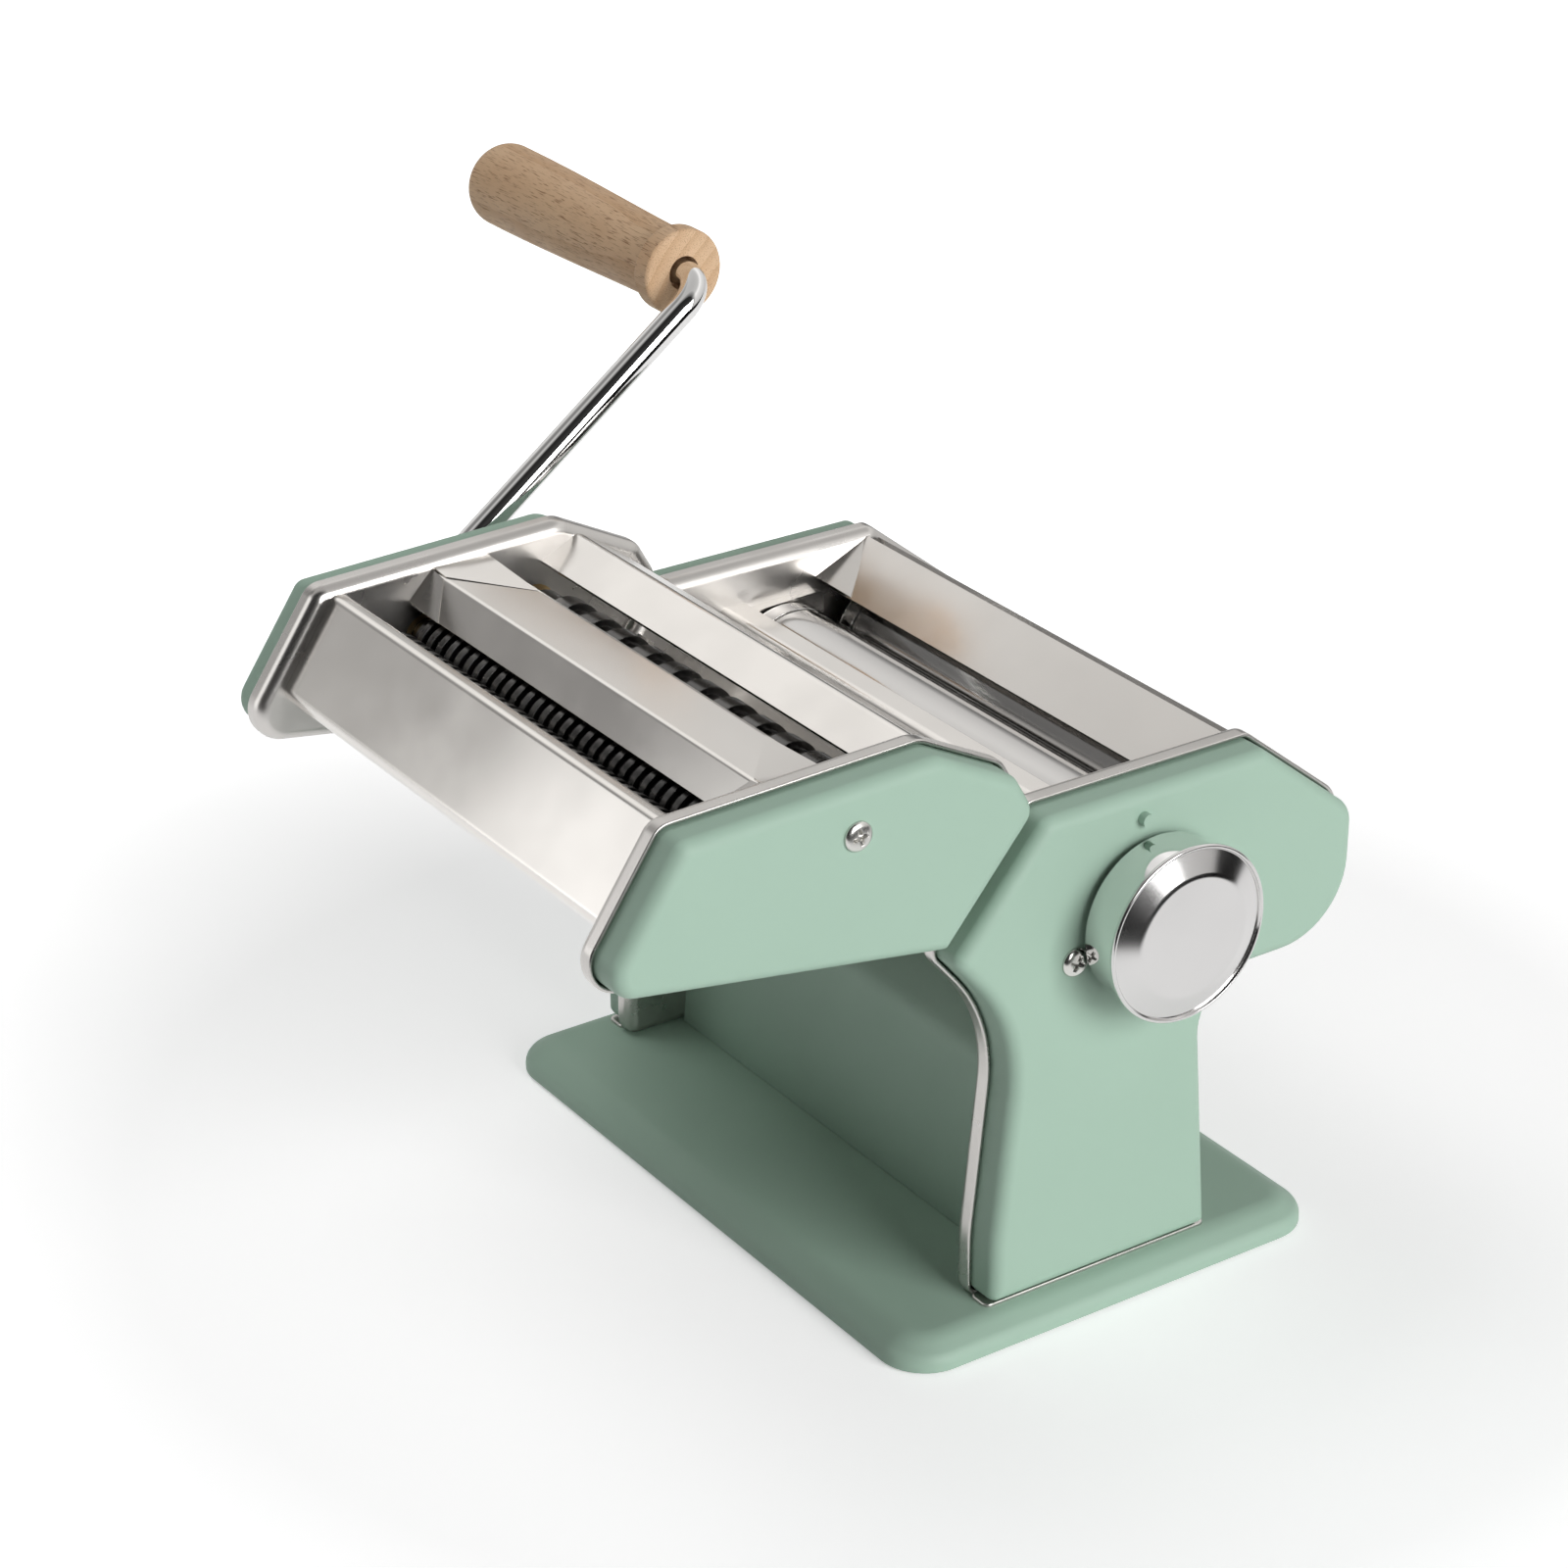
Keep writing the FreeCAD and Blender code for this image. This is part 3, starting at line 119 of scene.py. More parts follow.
@dataclass(frozen=True)
class Layout:
    """Places that several sub-assemblies share, in millimetres.

    Attributes:
        roller_z: height of the sheet rollers' axes.
        front_y: axis of the front sheet roller.
        rear_y: axis of the rear sheet roller.
        cutter_z: height of the cutting rollers' axes.
        narrow_y: axis of the narrow pair's front roller.
        wide_y: axis of the wide pair's front roller, which the crank drives.
        pair_step: from a front cutting roller to its mate.
        socket_end: left end of an axle with a crank socket.
        knob: axis of the thickness knob as (y, z).
        main_screw: screw of each side cover as (y, z).
        right_cutter_screw: screw of the cutter's right cover.
        left_cutter_screw: screw of the cutter's left cover.
        screw_hole: radius of a cover screw's hole.
        tie_hole: radius of a tie rod's hole.
        cover_face: height of a cover's outer face.
    """

    roller_z: float = 119.5
    front_y: float = 10.5
    rear_y: float = 46.8
    cutter_z: float = 154.5
    narrow_y: float = -118.5
    wide_y: float = -84.5
    pair_step: float = 15.8
    socket_end: float = 97.5
    knob: Pair = (7.8, 114.5)
    main_screw: Pair = (-16.0, 106.6)
    right_cutter_screw: Pair = (-84.2, 162.2)
    left_cutter_screw: Pair = (-58.0, 138.0)
    screw_hole: float = 2.15
    tie_hole: float = 2.5
    cover_face: float = 96.0

    def cutter_screw(self, plane: Plane) -> Pair:
        """Screw of the cutter cover on one side."""
        return self.right_cutter_screw if plane is Plane.RIGHT else self.left_cutter_screw


PLACES = Layout()


def rounded_line(corners: Corners, closed: bool, steps: int = 10) -> np.ndarray:
    """Line through corners, each corner rounded by a tangent arc of its own radius.

    The arc's centre lies on the corner's bisector at radius / sin(half angle), and the arc sweeps
    pi minus the corner's angle. Every corner gives steps + 1 points, so two insets of one
    outline match.

    Args:
        corners: (u, v, radius) of each corner.
        closed: whether the last corner joins the first.
        steps: spans in each arc.

    Returns:
        Points of shape (corners * (steps + 1), 2).
    """
    data = np.array(corners, float)
    point, radius = data[:, :2], data[:, 2].copy()
    back = np.roll(point, 1, axis=0) - point
    ahead = np.roll(point, -1, axis=0) - point
    if not closed:
        back[0], ahead[-1] = -ahead[0], -back[-1]
        radius[[0, -1]] = 0.0
    back /= np.maximum(np.linalg.norm(back, axis=1, keepdims=True), TINY)
    ahead /= np.maximum(np.linalg.norm(ahead, axis=1, keepdims=True), TINY)
    half = np.arccos(np.clip((back * ahead).sum(1), -1.0, 1.0)) / 2
    middle = back + ahead
    length = np.linalg.norm(middle, axis=1, keepdims=True)
    middle = np.where(length > TINY, middle / np.maximum(length, TINY), 0.0)
    centre = point + middle * (radius / np.maximum(np.sin(half), SMALL))[:, None]
    start = point + back * (radius / np.tan(np.maximum(half, SMALL)))[:, None] - centre
    turn = -np.sign(back[:, 0] * ahead[:, 1] - back[:, 1] * ahead[:, 0])
    angle = (turn * (math.pi - 2 * half))[:, None] * np.linspace(0.0, 1.0, steps + 1)[None, :]
    cosine, sine = np.cos(angle)[..., None], np.sin(angle)[..., None]
    across = np.stack([-start[:, 1], start[:, 0]], axis=1)
    return (centre[:, None] + start[:, None] * cosine + across[:, None] * sine).reshape(-1, 2)


def mitred(point: np.ndarray, come: np.ndarray, go: np.ndarray, gap: float) -> tuple[np.ndarray, np.ndarray]:
    """Corners moved to the left of their line, each along its bisector by gap / cos(half the turn).

    Args:
        point: corners of shape (n, 2).
        come: steps that arrive at the corners.
        go: steps that leave them.
        gap: distance to the left.

    Returns:
        The moved corners, and the turn at each one, positive to the left.
    """
    come = come / np.linalg.norm(come, axis=1, keepdims=True)
    go = go / np.linalg.norm(go, axis=1, keepdims=True)
    left_come = np.stack([-come[:, 1], come[:, 0]], axis=1)
    left_go = np.stack([-go[:, 1], go[:, 0]], axis=1)
    moved = point + (left_come + left_go) * (gap / (1 + (left_come * left_go).sum(1)))[:, None]
    return moved, come[:, 0] * go[:, 1] - come[:, 1] * go[:, 0]


def inset(corners: Corners, gap: float, least: float = 0.5) -> Corners:
    """Closed anticlockwise outline moved inwards by gap; hollow corners widen, round ones tighten.

    Args:
        corners: (u, v, radius) of each corner.
        gap: distance inwards.
        least: smallest radius left on a round corner.

    Returns:
        The moved corners.
    """
    data = np.array(corners, float)
    point = data[:, :2]
    moved, turn = mitred(point, point - np.roll(point, 1, axis=0), np.roll(point, -1, axis=0) - point, gap)
    radius = np.where(turn < 0, data[:, 2] + gap, np.maximum(data[:, 2] - gap, least))
    return [tuple(row) for row in np.column_stack([moved, radius])]


def thicken(line: Corners, thickness: float) -> Corners:
    """Section of a folded sheet: a line of (y, z, inside bend) and its mitred copy to one side.

    Args:
        line: points of the sheet's first face.
        thickness: sheet thickness, positive to the left of the line.

    Returns:
        Closed corners with the inside and outside radius of every fold.
    """
    data = np.array(line, float)
    point, bend = data[:, :2], data[:, 2]
    come = np.diff(point, axis=0, prepend=2 * point[:1] - point[1:2])
    go = np.diff(point, axis=0, append=2 * point[-1:] - point[-2:-1])
    copy, turn = mitred(point, come, go, thickness)
    line_inside = (turn > 0) == (thickness < 0)
    first = bend + np.where(line_inside, 0.0, abs(thickness))
    second = bend + np.where(line_inside, abs(thickness), 0.0)
    first[[0, -1]] = second[[0, -1]] = CUT_EDGE
    rows = np.vstack([np.column_stack([point, first]), np.column_stack([copy, second])[::-1]])
    return [tuple(row) for row in rows]


def ring(u: float, v: float, radius: float, count: int = 40) -> np.ndarray:
    """Round hole of an outline: count points on a circle about (u, v)."""
    angle = np.linspace(0.0, 2 * math.pi, count, endpoint=False)
    return np.column_stack([u + radius * np.cos(angle), v + radius * np.sin(angle)])


class Skin:
    """Grids and caps gathered into one welded, closed mesh. Millimetres in, metres out."""

    def __init__(self) -> None:
        """Start with no points."""
        self.points: list[np.ndarray] = []
        self.faces: list[list[int]] = []
        self.count = 0

    def add(self, points: np.ndarray, faces: np.ndarray) -> None:
        """Append points and the faces between them.

        Args:
            points: shape (n, 3).
            faces: rows of places in points.
        """
        self.points.append(points)
        self.faces += (faces + self.count).tolist()
        self.count += len(points)

    def grid(self, points: np.ndarray, wrap: bool = True) -> None:
        """Quads over a grid of points, row to row.

        Args:
            points: shape (rows, columns, 3).
            wrap: whether the last column joins the first.
        """
        rows, columns = points.shape[:2]
        index = np.arange(rows * columns).reshape(rows, columns)
        after = np.roll(index, -1, axis=1)
        if not wrap:
            index, after = index[:, :-1], after[:, :-1]
        quads = np.stack([index[:-1], index[1:], after[1:], after[:-1]], axis=-1)
        self.add(points.reshape(-1, 3), quads.reshape(-1, 4))

    def cap(self, loops: list[np.ndarray], lift: Callable[[np.ndarray], np.ndarray]) -> None:
        """Flat triangles between an outline and its round holes.

        The loops bound a Delaunay net; triangles whose middle lies in a hole are left out.

        Args:
            loops: the outline, then the holes, each of shape (n, 2).
            lift: puts flat points of shape (n, 2) in place as (n, 3).
        """
        flat = np.vstack(loops)
        starts = np.cumsum([0] + [len(loop) for loop in loops])
        edges = np.vstack([np.column_stack([np.arange(a, b), np.roll(np.arange(a, b), -1)])
                           for a, b in zip(starts[:-1], starts[1:])])
        spots, _, faces, *_ = delaunay_2d_cdt([Vector(p) for p in flat], edges.tolist(), [], 1, NET_MERGE)
        spots, faces = np.array(spots, float), np.array(faces, int)
        middle = spots[faces].mean(axis=1)
        keep = np.ones(len(faces), bool)
        for hole in loops[1:]:
            centre = hole.mean(axis=0)
            keep &= np.linalg.norm(middle - centre, axis=1) > np.linalg.norm(hole[0] - centre)
        self.add(lift(spots), faces[keep])

    def polygon(self, points: np.ndarray) -> None:
        """One flat many-sided face through points of shape (n, 3)."""
        self.add(points, np.arange(len(points))[None, :])

    def build(self, name: str, sharp: float = 32.0) -> bpy.types.Object:
        """Weld the gathered faces, point them outwards and shade them smooth up to an angle.

        Args:
            name: object name.
            sharp: angle in degrees past which an edge stays crisp.

        Returns:
            The new object, at the origin.
        """
        mesh = bpy.data.meshes.new(name)
        mesh.from_pydata((np.vstack(self.points) * MM).tolist(), [], self.faces)
        work = bmesh.new()
        work.from_mesh(mesh)
        bmesh.ops.remove_doubles(work, verts=work.verts, dist=WELD)
        bmesh.ops.dissolve_degenerate(work, edges=work.edges, dist=SLIVER)
        bmesh.ops.recalc_face_normals(work, faces=work.faces)
        work.to_mesh(mesh)
        work.free()
        mesh.shade_smooth()
        mesh.set_sharp_from_angle(angle=math.radians(sharp))
        piece = bpy.data.objects.new(name, mesh)
        bpy.context.scene.collection.objects.link(piece)
        weight = piece.modifiers.new("even_shading", "WEIGHTED_NORMAL")
        weight.keep_sharp = True
        return piece


def pressed(name: str, corners: Corners, section: Corners, holes: list[np.ndarray],
            plane: Plane) -> bpy.types.Object:
    """Pressed sheet: a section of (inset, height) carried round an outline, then flat faces with holes.

    Args:
        name: object name.
        corners: outline of the pressing.
        section: (inset, height, radius) from the inner face over the open edge to the outer face.
        holes: loops of shape (n, 2) through both faces.
        plane: where the pressing lies.

    Returns:
        The pressed piece.
    """
    def outline(gap: float) -> np.ndarray:
        """Points of the outline moved inwards by gap."""
        return rounded_line(inset(corners, gap), True, OUTLINE_STEPS)

    def lifted(flat: np.ndarray, height: float) -> np.ndarray:
        """Outline points put at a height along the plane's normal.

        Args:
            flat: points of shape (n, 2).
            height: distance along the normal.

        Returns:
            Points of shape (n, 3).
        """
        level = np.full(len(flat), height)
        if plane is Plane.FLAT:
            return np.column_stack([flat, level])
        return np.column_stack([plane.value * level, flat])

    stations = rounded_line(section, closed=False, steps=SECTION_STEPS)
    ends = (stations[0], stations[-1])
    skin = Skin()
    skin.grid(np.stack([lifted(outline(gap), at) for gap, at in stations]))
    for gap, at in ends:
        skin.cap([outline(gap)] + holes, partial(lifted, height=at))
    for hole in holes:
        skin.grid(np.stack([lifted(hole, at) for _, at in ends]))
    return skin.build(name)


def revolved(profile: np.ndarray, y: float, z: float, spokes: int) -> np.ndarray:
    """Grid of a turned form: each (x, r) carried round a circle of radius r about an axis along X.

    Args:
        profile: rows of (x, r).
        y: place of the axis across the machine.
        z: height of the axis.
        spokes: points on each circle.

    Returns:
        Points of shape (rows, spokes, 3).
    """
    angle = np.linspace(0.0, 2 * math.pi, spokes, endpoint=False)
    x = np.broadcast_to(profile[:, :1], (len(profile), spokes))
    return np.stack([x, y + profile[:, 1:] * np.cos(angle), z + profile[:, 1:] * np.sin(angle)], axis=-1)


def turned(name: str, corners: Corners, axis: Pair, spokes: int, steps: int = 5) -> bpy.types.Object:
    """Turned piece: a closed profile with filleted corners, revolved about an axis along X.

    Args:
        name: object name.
        corners: (x, r, fillet) of each corner.
        axis: (y, z) of the axis.
        spokes: points on each circle.
        steps: spans in each fillet.

    Returns:
        The turned piece.
    """
    profile = rounded_line(corners, True, steps)
    profile = np.vstack([profile, profile[:1]])
    profile[:, 1] = np.maximum(profile[:, 1], 0.0)
    skin = Skin()
    skin.grid(revolved(profile, *axis, spokes))
    return skin.build(name)


def folded(name: str, line: Corners, thickness: float, half: float) -> bpy.types.Object:
    """Folded sheet: the section of a bent line carried straight along X, then closed at both ends.

    Args:
        name: object name.
        line: (y, z, inside bend) of the sheet's first face.
        thickness: sheet thickness, positive to the left of the line.
        half: half the sheet's length.

    Returns:
        The folded piece.
    """
    section = rounded_line(thicken(line, thickness), True, SECTION_STEPS)

    def at_end(flat: np.ndarray, x: float) -> np.ndarray:
        """Section points put at a station along X."""
        return np.column_stack([np.full(len(flat), x), flat])

    skin = Skin()
    skin.grid(np.stack([at_end(section, -half), at_end(section, half)]))
    for x in (-half, half):
        skin.cap([section], partial(at_end, x=x))
    return skin.build(name)


def folded_corner(name: str, face: np.ndarray, thickness: float) -> bpy.types.Object:
    """Facet folded between a sheet and a web: a fan of triangles, and its copy below along the normal.

    Args:
        name: object name.
        face: the facet's corners in order, of shape (n, 3).
        thickness: distance down to the copy.

    Returns:
        The closed facet.
    """
    normal = np.cross(face[1] - face[0], face[2] - face[0])
    under = face - normal / np.linalg.norm(normal) * thickness * np.sign(normal[2])
    second = np.arange(1, len(face) - 1)
    fan = np.column_stack([np.zeros_like(second), second, second + 1])
    skin = Skin()
    skin.grid(np.stack([face, under]))
    skin.add(face, fan)
    skin.add(under, fan)
    return skin.build(name, FACET_SHARP)


class Effects:
    """Shader node groups shared by the finishes. Each puts out values that change over the surface.

    Attributes:
        even: stretch of a pattern that is alike in all directions.
        rolled: stretch of a pattern that runs along the machine's X.
        clouds: noise values between which a clean place turns dull.
    """

    even: Triple = (1.0, 1.0, 1.0)
    rolled: Triple = (0.012, 1.0, 1.0)
    clouds: Pair = (0.38, 0.68)

    def __init__(self) -> None:
        """Build every group once."""
        self.speckle = self._speckle()
        self.brushed = self._brushed()
        self.smudge = self._smudge()

    @staticmethod
    def _new(name: str, inputs: dict[str, float], outputs: list[str]) -> bpy.types.ShaderNodeTree:
        """Empty group with float inputs and outputs.

        Args:
            name: name of the group.
            inputs: labels of its inputs and their defaults.
            outputs: labels of its outputs.

        Returns:
            The new group.
        """
        tree = bpy.data.node_groups.new(name, "ShaderNodeTree")
        for label, value in inputs.items():
            socket = tree.interface.new_socket(label, in_out="INPUT", socket_type="NodeSocketFloat")
            socket.default_value = value
        for label in outputs:
            tree.interface.new_socket(label, in_out="OUTPUT", socket_type="NodeSocketFloat")
        tree.nodes.new("NodeGroupInput").name = "in"
        tree.nodes.new("NodeGroupOutput").name = "out"
        return tree

    @staticmethod
    def _noise(tree: bpy.types.ShaderNodeTree, stretch: Triple, detail: float) -> bpy.types.Node:
        """Noise on Object coordinates, stretched by a Mapping node; its scale stays free.

        Args:
            tree: the group under way.
            stretch: scale along each axis.
            detail: how many finer layers are added.

        Returns:
            The noise's node.
        """
        place = tree.nodes.new("ShaderNodeTexCoord")
        mapping = tree.nodes.new("ShaderNodeMapping")
        mapping.inputs["Scale"].default_value = stretch
        noise = tree.nodes.new("ShaderNodeTexNoise")
        noise.inputs["Detail"].default_value = detail
        tree.links.new(place.outputs["Object"], mapping.inputs["Vector"])
        tree.links.new(mapping.outputs["Vector"], noise.inputs["Vector"])
        return noise

    def _speckle(self) -> bpy.types.ShaderNodeTree:
        """Fine even grain of a sprayed or moulded skin, and a broad slow drift.

        Returns:
            The new group.
        """
        tree = self._new("sprayed_grain", {"Grain Scale": 1600.0, "Drift Scale": 14.0}, ["Grain", "Drift"])
        for label, scale, detail in (("Grain", "Grain Scale", 2.0), ("Drift", "Drift Scale", 3.0)):
            noise = self._noise(tree, self.even, detail)
            tree.links.new(tree.nodes["in"].outputs[scale], noise.inputs["Scale"])
            tree.links.new(noise.outputs["Fac"], tree.nodes["out"].inputs[label])
        return tree

    def _brushed(self) -> bpy.types.ShaderNodeTree:
        """Fine lines along the rolling direction of a sheet, which is the machine's X.

        Returns:
            The new group.
        """
        tree = self._new("rolling_lines", {"Line Scale": 900.0}, ["Lines"])
        noise = self._noise(tree, self.rolled, 3.0)
        tree.links.new(tree.nodes["in"].outputs["Line Scale"], noise.inputs["Scale"])
        tree.links.new(noise.outputs["Fac"], tree.nodes["out"].inputs["Lines"])
        return tree

    def _smudge(self) -> bpy.types.ShaderNodeTree:
        """Soft cloudy handling marks between two roughness values.

        Returns:
            The new group.
        """
        tree = self._new("handling_marks", {"Scale": 45.0, "Clean": 0.1, "Dull": 0.2}, ["Roughness"])
        noise = self._noise(tree, self.even, 5.0)
        spread = tree.nodes.new("ShaderNodeMapRange")
        spread.inputs["From Min"].default_value, spread.inputs["From Max"].default_value = self.clouds
        gate = tree.nodes["in"].outputs
        tree.links.new(gate["Scale"], noise.inputs["Scale"])
        tree.links.new(gate["Clean"], spread.inputs["To Min"])
        tree.links.new(gate["Dull"], spread.inputs["To Max"])
        tree.links.new(noise.outputs["Fac"], spread.inputs["Value"])
        tree.links.new(spread.outputs["Result"], tree.nodes["out"].inputs["Roughness"])
        return tree


@dataclass(frozen=True)
class Finish:
    """A plain finish: two shades that drift into each other, a roughness span and a fine grain.

    Attributes:
        slot: material slot of the record.
        light: lighter base colour, linear.
        dark: darker base colour, linear.
        metallic: 1 for bare metal.
        clean: roughness of clean places.
        dull: roughness of handled places.
        grain_scale: size of the sprayed grain, or 0 for rolled lines.
        grain: height of the grain in metres.
        drift: how often the two shades change, per metre.
        specular: strength of the coat's own shine.
        relief: share of the grain's height that shows.
    """

    slot: Slot
    light: Triple
    dark: Triple
    metallic: float
    clean: float
    dull: float
    grain_scale: float
    grain: float
    drift: float = 14.0
    specular: float = 0.42
    relief: float = 0.6

    def material(self, effects: Effects) -> bpy.types.Material:
        """Node material of this finish.

        Args:
            effects: the shared node groups.

        Returns:
            The new material.
        """
        made = bpy.data.materials.new(self.slot.value + "_finish")
        made.use_nodes = True
        tree = made.node_tree
        shader = tree.nodes["Principled BSDF"]
        shader.inputs["Metallic"].default_value = self.metallic
        shader.inputs["Specular IOR Level"].default_value = self.specular
        speckle = self.placed(tree, effects.speckle, {"Drift Scale": self.drift})
        marks = self.placed(tree, effects.smudge, {"Clean": self.clean, "Dull": self.dull})
        tree.links.new(marks.outputs["Roughness"], shader.inputs["Roughness"])
        shades = tree.nodes.new("ShaderNodeMix")
        shades.data_type = "RGBA"
        shades.inputs["A"].default_value = (*self.dark, 1.0)
        shades.inputs["B"].default_value = (*self.light, 1.0)
        tree.links.new(speckle.outputs["Drift"], shades.inputs["Factor"])
        tree.links.new(shades.outputs["Result"], shader.inputs["Base Color"])
        bump = tree.nodes.new("ShaderNodeBump")
        bump.inputs["Distance"].default_value = self.grain
        bump.inputs["Strength"].default_value = self.relief
        if self.grain_scale:
            speckle.inputs["Grain Scale"].default_value = self.grain_scale
            height = speckle.outputs["Grain"]
        else:
            height = self.placed(tree, effects.brushed, {}).outputs["Lines"]
        tree.links.new(height, bump.inputs["Height"])
        tree.links.new(bump.outputs["Normal"], shader.inputs["Normal"])
        return made

    @staticmethod
    def placed(tree: bpy.types.NodeTree, group: bpy.types.NodeTree,
               values: dict[str, float]) -> bpy.types.Node:
        """Place a shared group in a material with its own values.

        Args:
            tree: the material's nodes.
            group: the shared group.
            values: inputs that differ from the group's defaults.

        Returns:
            The group's node.
        """
        node = tree.nodes.new("ShaderNodeGroup")
        node.node_tree = group
        for label, value in values.items():
            node.inputs[label].default_value = value
        return node


@dataclass(frozen=True)
class BeechFinish:
    """Oiled beech: flat growth rings about a far pith, and short dark pores along the grain.

    Attributes:
        pith: where the growth rings are centred, off the grip, as (y, z) in metres.
        ring_count: rings per metre.
        early: colour of early wood.
        late: colour of late wood.
        early_share: share of a ring that is early wood.
        wobble: how far the rings stray from circles.
        shade: tint of the darker patches.
        shade_span: drift values between which a patch fades out.
        shade_share: strength of the patches.
        pore: colour of the pores.
        pore_scale: pores per metre across the grain.
        pore_stretch: scale along and across the grain.
        pore_span: noise values between which a pore deepens.
        pore_depth: depth of the pores in metres.
        relief: share of the pores' depth that shows.
        clean: roughness of clean places.
        dull: roughness of handled places.
        specular: strength of the oil's shine.
    """

    slot: Slot = Slot.BEECH
    pith: Pair = (0.052, 0.19)
    ring_count: float = 230.0
    early: Colour = (0.82, 0.58, 0.37, 1.0)
    late: Colour = (0.73, 0.485, 0.29, 1.0)
    early_share: float = 0.35
    wobble: float = 1.6
    shade: Colour = (0.80, 0.70, 0.62, 1.0)
    shade_span: Pair = (0.32, 0.66)
    shade_share: float = 0.5
    pore: Colour = (0.42, 0.225, 0.125, 1.0)
    pore_scale: float = 3600.0
    pore_stretch: Triple = (0.06, 1.0, 1.0)
    pore_span: Pair = (0.57, 0.70)
    pore_depth: float = 0.00012
    relief: float = 0.7
    clean: float = 0.5
    dull: float = 0.64
    specular: float = 0.35

    def rings(self, tree: bpy.types.NodeTree, place: bpy.types.Node) -> bpy.types.NodeSocket:
        """Colour of the growth rings: a saw wave of the distance from the pith.

        Args:
            tree: the material's nodes.
            place: its coordinates.

        Returns:
            The colour.
        """
        centred = tree.nodes.new("ShaderNodeMapping")
        centred.inputs["Location"].default_value = (0.0, -self.pith[0], -self.pith[1])
        tree.links.new(place.outputs["Object"], centred.inputs["Vector"])
        wave = tree.nodes.new("ShaderNodeTexWave")
        wave.wave_type, wave.rings_direction, wave.wave_profile = "RINGS", "X", "SAW"
        wave.inputs["Scale"].default_value = self.ring_count / WAVE_RINGS
        wave.inputs["Distortion"].default_value = self.wobble
        wave.inputs["Detail"].default_value = 2.0
        wave.inputs["Detail Scale"].default_value = 0.35
        tree.links.new(centred.outputs["Vector"], wave.inputs["Vector"])
        ramp = tree.nodes.new("ShaderNodeValToRGB")
        first, last = ramp.color_ramp.elements
        first.color, last.color = self.early, self.late
        first.position = self.early_share
        tree.links.new(wave.outputs["Fac"], ramp.inputs["Fac"])
        return ramp.outputs["Color"]

    def pores(self, tree: bpy.types.NodeTree, place: bpy.types.Node) -> bpy.types.NodeSocket:
        """Mask of the pores: fine noise stretched along the grain.

        Args:
            tree: the material's nodes.
            place: its coordinates.

        Returns:
            The mask, 1 in a pore.
        """
        along = tree.nodes.new("ShaderNodeMapping")
        along.inputs["Scale"].default_value = self.pore_stretch
        tree.links.new(place.outputs["Object"], along.inputs["Vector"])
        noise = tree.nodes.new("ShaderNodeTexNoise")
        noise.inputs["Scale"].default_value = self.pore_scale
        noise.inputs["Detail"].default_value = 1.0
        tree.links.new(along.outputs["Vector"], noise.inputs["Vector"])
        flecks = tree.nodes.new("ShaderNodeMapRange")
        flecks.inputs["From Min"].default_value, flecks.inputs["From Max"].default_value = self.pore_span
        tree.links.new(noise.outputs["Fac"], flecks.inputs["Value"])
        return flecks.outputs["Result"]

    def patches(self, tree: bpy.types.NodeTree, effects: Effects) -> bpy.types.NodeSocket:
        """Tint of the broad darker patches.

        Args:
            tree: the material's nodes.
            effects: the shared node groups.

        Returns:
            The tint.
        """
        drift = Finish.placed(tree, effects.speckle, {"Drift Scale": 38.0})
        ramp = tree.nodes.new("ShaderNodeValToRGB")
        first, last = ramp.color_ramp.elements
        first.color = self.shade
        first.position, last.position = self.shade_span
        tree.links.new(drift.outputs["Drift"], ramp.inputs["Fac"])
        return ramp.outputs["Color"]

    def material(self, effects: Effects) -> bpy.types.Material:
        """Node material of the wood.

        Args:
            effects: the shared node groups.

        Returns:
            The new material.
        """
        made = bpy.data.materials.new("beech_finish")
        made.use_nodes = True
        tree = made.node_tree
        shader = tree.nodes["Principled BSDF"]
        shader.inputs["Specular IOR Level"].default_value = self.specular
        place = tree.nodes.new("ShaderNodeTexCoord")
        flecks = self.pores(tree, place)
        tone = tree.nodes.new("ShaderNodeMix")
        tone.data_type, tone.blend_type = "RGBA", "MULTIPLY"
        tone.inputs["Factor"].default_value = self.shade_share
        tree.links.new(self.rings(tree, place), tone.inputs["A"])
        tree.links.new(self.patches(tree, effects), tone.inputs["B"])
        wood = tree.nodes.new("ShaderNodeMix")
        wood.data_type = "RGBA"
        wood.inputs["B"].default_value = self.pore
        tree.links.new(flecks, wood.inputs["Factor"])
        tree.links.new(tone.outputs["Result"], wood.inputs["A"])
        tree.links.new(wood.outputs["Result"], shader.inputs["Base Color"])
        marks = Finish.placed(tree, effects.smudge, {"Clean": self.clean, "Dull": self.dull, "Scale": 80.0})
        tree.links.new(marks.outputs["Roughness"], shader.inputs["Roughness"])
        bump = tree.nodes.new("ShaderNodeBump")
        bump.invert = True
        bump.inputs["Distance"].default_value = self.pore_depth
        bump.inputs["Strength"].default_value = self.relief
        tree.links.new(flecks, bump.inputs["Height"])
        tree.links.new(bump.outputs["Normal"], shader.inputs["Normal"])
        return made


